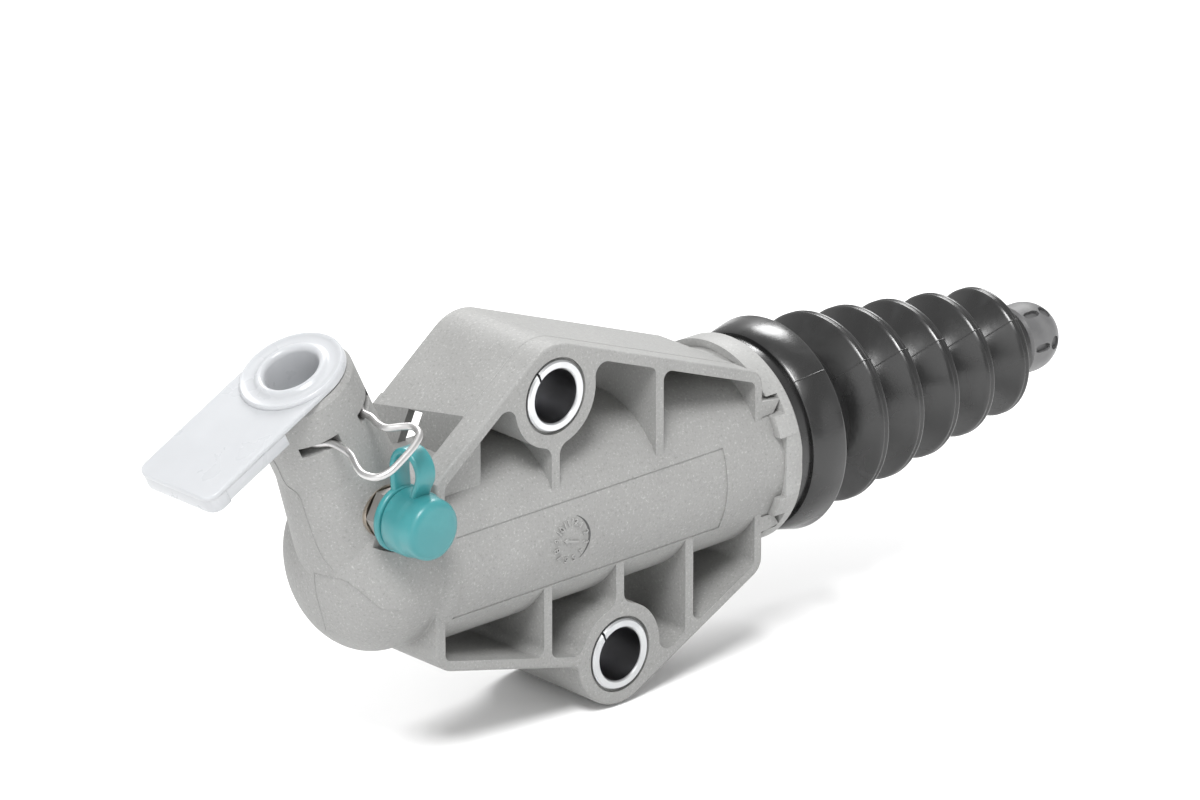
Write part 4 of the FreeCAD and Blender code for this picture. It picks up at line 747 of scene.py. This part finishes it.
def make_port_plug():
    ring = spun("plug_ring", [on_port(along, radius) for along, radius in (
        (22.5, 0.0), (22.5, 3.7), (23.0, 4.2), (30.1, 4.2), (30.1, 7.1), (36.2, 7.1), (36.2, 8.1),
        (36.4, 8.3), (37.25, 8.3), (37.6, 8.2), (37.8, 7.95), (37.78, 7.65), (37.6, 7.4),
        (37.55, 6.0), (37.7, 5.7), (38.0, 5.45), (38.1, 5.1), (38.0, 4.75), (37.7, 4.45),
        (37.2, 4.3), (30.9, 4.3), (30.9, 3.1), (24.0, 3.1), (24.0, 0.0))],
        on_port(0, 0), on_port(1, 0) - on_port(0, 0), steps=96)
    strip = port_slab(
        "plug_strip", rounded_strip(0.0, -PLUG_REACH, PLUG_HALF_WIDTH, RING_HOLLOW),
        STRIP_LOW, STRIP_HIGH, softness=0.28)
    low, high = STRIP_LOW + RIM_LAP, STRIP_LOW + 2 * RIM_LAP
    grip = port_slab("plug_grip", rounded_strip(
        GRIP_LENGTH - PLUG_REACH, PLUG_INSET - PLUG_REACH, PLUG_HALF_WIDTH - PLUG_INSET),
        low - GRIP_DEPTH, high, softness=0.4)
    pieces = [ring, strip, grip]
    outside = PLUG_HALF_WIDTH - 2 * PLUG_INSET
    end = PLUG_CORNER - PLUG_REACH
    for side, name in ((1, "plug_back_rim"), (-1, "plug_front_rim")):
        near, far = sorted((outside * side, (outside - RIM_WIDTH) * side))
        corners = [(RIM_START, near), (RIM_START, far), (end, far), (end, near)]
        pieces.append(port_slab(name, corners, low - RIM_DEPTH, high, softness=0.2))
    for piece in pieces:
        finish_piece(piece, plug_plastic, "milky", "plug", "port_plug", angle=40.0)


make_port_plug()


# Cover ring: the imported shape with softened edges

def make_cover_ring():
    cover = merged_copy("cover_ring", "cover_moulding")
    soften_edges(cover, 0.1, segments=2)
    finish_piece(cover, cover_nylon, "nylon", "cylinder", "cover_ring", angle=45.0)


make_cover_ring()


# Date dial: figures, an arrow and a dark crescent of painted shade at the disc's edge, standing a
# little off the label field

FIELD_RADIUS = 14.9
DIAL_CENTRE_X = 1.3
DIAL_DROP = 0.5
DIAL_RADIUS = 4.0
FIGURE_RADIUS = 2.95
FIGURE_SIZE = 1.45
FIGURE_HEIGHT = 0.32
DIAL_TURN, FIGURE_STEP = 15.0, 30.0
ARROW_LEAN = math.radians(-14.5)
ARROW_HALF_WIDTH = 0.15
ARROW_OUTLINE = (
    (-1.5, 0.0), (-0.9, 0.42), (-0.75, ARROW_HALF_WIDTH), (1.5, ARROW_HALF_WIDTH),
    (1.5, -ARROW_HALF_WIDTH), (-0.75, -ARROW_HALF_WIDTH), (-0.9, -0.42))
EDGE_TURNS = [math.radians(a) for a in range(-56, 69, 4)]
EDGE_WIDTH, EDGE_TIP, EDGE_HEIGHT = 0.36, 0.04, 0.08


def on_dial(x, z, lift=0.0):
    """A point of the dial's plane, x and z from its centre."""
    return on_stroke(DIAL_CENTRE_X + x, -(FIELD_RADIUS + lift), z - DIAL_DROP)


def flat_plate(name, corners, height):
    """A thin plate on the dial's plane, raised towards the front."""
    return extruded(name, [on_dial(x, z) for x, z in corners], (0, -height * MM, 0))


def lay_on_field(piece, sink):
    """Bends a flat plate down onto the field's round surface, and a little into it."""
    for vertex in piece.data.vertices:
        drop = vertex.co.z + STROKE_DROP * MM
        curve = FIELD_RADIUS * MM - math.sqrt((FIELD_RADIUS * MM) ** 2 - drop * drop)
        vertex.co.y += curve + sink * MM


def raised_figure(number):
    """One of the dial's figures, its foot towards the centre."""
    turn = math.radians(FIGURE_STEP * number + DIAL_TURN)
    clear_selection()
    bpy.ops.object.text_add(location=on_dial(
        FIGURE_RADIUS * math.sin(turn), FIGURE_RADIUS * math.cos(turn), FIGURE_HEIGHT / 2))
    figure = bpy.context.object
    figure.data.body = str(number)
    figure.data.align_x = "CENTER"
    figure.data.align_y = "CENTER"
    figure.data.size = FIGURE_SIZE * MM
    figure.data.extrude = FIGURE_HEIGHT / 2 * MM
    figure.data.resolution_u = 4
    figure.rotation_euler = (math.pi / 2, turn, 0.0)
    bpy.ops.object.convert(target="MESH")
    return bpy.context.object


def make_dial_figures():
    across, up = math.cos(ARROW_LEAN), math.sin(ARROW_LEAN)
    arrow = [(x * across - z * up, x * up + z * across) for x, z in ARROW_OUTLINE]
    pieces = [raised_figure(number) for number in range(1, 13)]
    pieces.append(flat_plate("dial_arrow", arrow, FIGURE_HEIGHT))
    clear_selection()
    for piece in pieces:
        piece.select_set(True)
    bpy.context.view_layer.objects.active = pieces[-1]
    bpy.ops.object.join()
    dial = bpy.context.object
    dial.name = "dial_figures"
    bpy.ops.object.transform_apply(location=True, rotation=True, scale=True)
    lay_on_field(dial, sink=0.05)
    finish_piece(dial, cover_nylon, "nylon", "cylinder")


def make_dial_edge():
    """A dark crescent of painted shade on the disc's right side, widest in the middle, standing for
    the shaded wall of a sunk disc.
    """
    first, last = EDGE_TURNS[0], EDGE_TURNS[-1]
    outer = [(DIAL_RADIUS * math.cos(a), DIAL_RADIUS * math.sin(a)) for a in EDGE_TURNS]
    inner = []
    for a in reversed(EDGE_TURNS):
        share = math.sin(math.pi * (a - first) / (last - first))
        radius = DIAL_RADIUS - EDGE_TIP - EDGE_WIDTH * max(share, 0.0)
        inner.append((radius * math.cos(a), radius * math.sin(a)))
    shade_crescent = flat_plate("dial_shade_crescent", outer + inner, EDGE_HEIGHT)
    lay_on_field(shade_crescent, sink=0.04)
    # painted shade: the dark nylon stands in for shade on the disc's wall
    finish_piece(shade_crescent, inner_nylon_and_painted_shade, "nylon", "cylinder")


make_dial_figures()
make_dial_edge()


# Mould lines on the housing, where the two halves and the slides of the mould met

PHOTO_WIDTH, PHOTO_HEIGHT = 1200.0, 800.0
NECK_LINE_PIXELS = (
    (268, 452), (277, 466), (286, 484), (299, 496), (308, 522), (320, 553), (333, 571))
DOME_LINE_PIXELS = (
    (314, 573), (330, 577), (345, 581), (360, 592), (371, 601), (382, 609), (400, 611))
TAIL_LINE_PIXELS = ((314, 573), (316, 592), (321, 612), (326, 630))
LINE_LIFT = 0.02


def pixel_ray(across, down):
    """Direction in which a pixel of the photograph looks."""
    scale = SENSOR_WIDTH / (PHOTO_WIDTH * LENS)
    local = Vector(((across - PHOTO_WIDTH / 2) * scale, (PHOTO_HEIGHT / 2 - down) * scale, -1.0))
    return (camera_turn @ local).normalized()


def on_housing(direction):
    """A point a hair above the housing, where a look from the camera meets it, or None."""
    hit, place, normal, _ = nodes["housing"].ray_cast(camera.location, direction)
    return place + normal * LINE_LIFT * MM if hit else None


def make_mould_line(name, pixels, radius):
    seen = [on_housing(pixel_ray(*pixel)) for pixel in pixels]
    finer = []
    for point in smooth_path([place for place in seen if place is not None], steps=5):
        landed = on_housing((point - camera.location).normalized())
        finer.append(point if landed is None else landed)
    line = tube(name, finer, radius * MM, sides=2)
    finish_piece(line, housing_nylon, "nylon", "cylinder")


make_mould_line("neck_mould_line", NECK_LINE_PIXELS, radius=0.10)
make_mould_line("dome_mould_line", DOME_LINE_PIXELS, radius=0.07)
make_mould_line("tail_mould_line", TAIL_LINE_PIXELS, radius=0.06)


# Ear line: round the upper boss and down both slopes of the ear's outer wall

TAIL_SLOPE, NOSE_SLOPE = math.radians(37.0), math.radians(20.5)
BOSS_RADIUS = 8.1
EAR_LINE_START, EAR_LINE_END = -14.6, 41.2
EAR_LINE_Y, EAR_LINE_RADIUS = -8.5, 0.07
ARC_STEPS = 10


def along_slope(x, slope):
    """A point on the line that leaves the boss's round at a slope."""
    drop = (x - BOSS_RADIUS * math.sin(slope)) * math.tan(slope)
    return x, STROKE_DROP + BOSS_RADIUS * math.cos(slope) - drop


def make_ear_line():
    """The mould line of the upper ear, set back from its front face."""
    path = [along_slope(EAR_LINE_START, -TAIL_SLOPE)]
    for i in range(ARC_STEPS + 1):
        turn = -TAIL_SLOPE + (TAIL_SLOPE + NOSE_SLOPE) * i / ARC_STEPS
        path.append((BOSS_RADIUS * math.sin(turn), STROKE_DROP + BOSS_RADIUS * math.cos(turn)))
    path.append(along_slope(EAR_LINE_END, NOSE_SLOPE))
    line = tube("ear_mould_line", [on_stroke(x, EAR_LINE_Y, z) for x, z in path],
                EAR_LINE_RADIUS * MM, sides=2)
    finish_piece(line, cover_nylon, "nylon", "cylinder")


make_ear_line()


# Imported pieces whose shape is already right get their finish

FINISHES = {
    "housing": housing_nylon, "upper_bush": upper_zinc, "lower_bush": lower_zinc,
    "piston": alloy, "pressure_seal": seal_rubber, "guide_seal": seal_rubber,
    "seal_spreader": inner_nylon_and_painted_shade, "stop_ring": steel, "push_rod": steel,
    "ball_retainer": steel, "rod_cap": dark_nylon, "bleed_insert": brass,
    "bleed_screw": screw_steel, "bleed_seal": seal_rubber,
}
for label, material in FINISHES.items():
    packed = nodes[label]
    packed.data.materials.clear()
    packed.data.materials.append(material)


# Floor

FLOOR_SIZE = 6.0
FLOOR_GAP = 0.0004

clear_selection()
bpy.ops.mesh.primitive_plane_add(size=FLOOR_SIZE, location=(0, 0, cad_box[0].z - FLOOR_GAP))
floor = bpy.context.object
floor.name = "floor"
floor.data.materials.append(floor_paper)
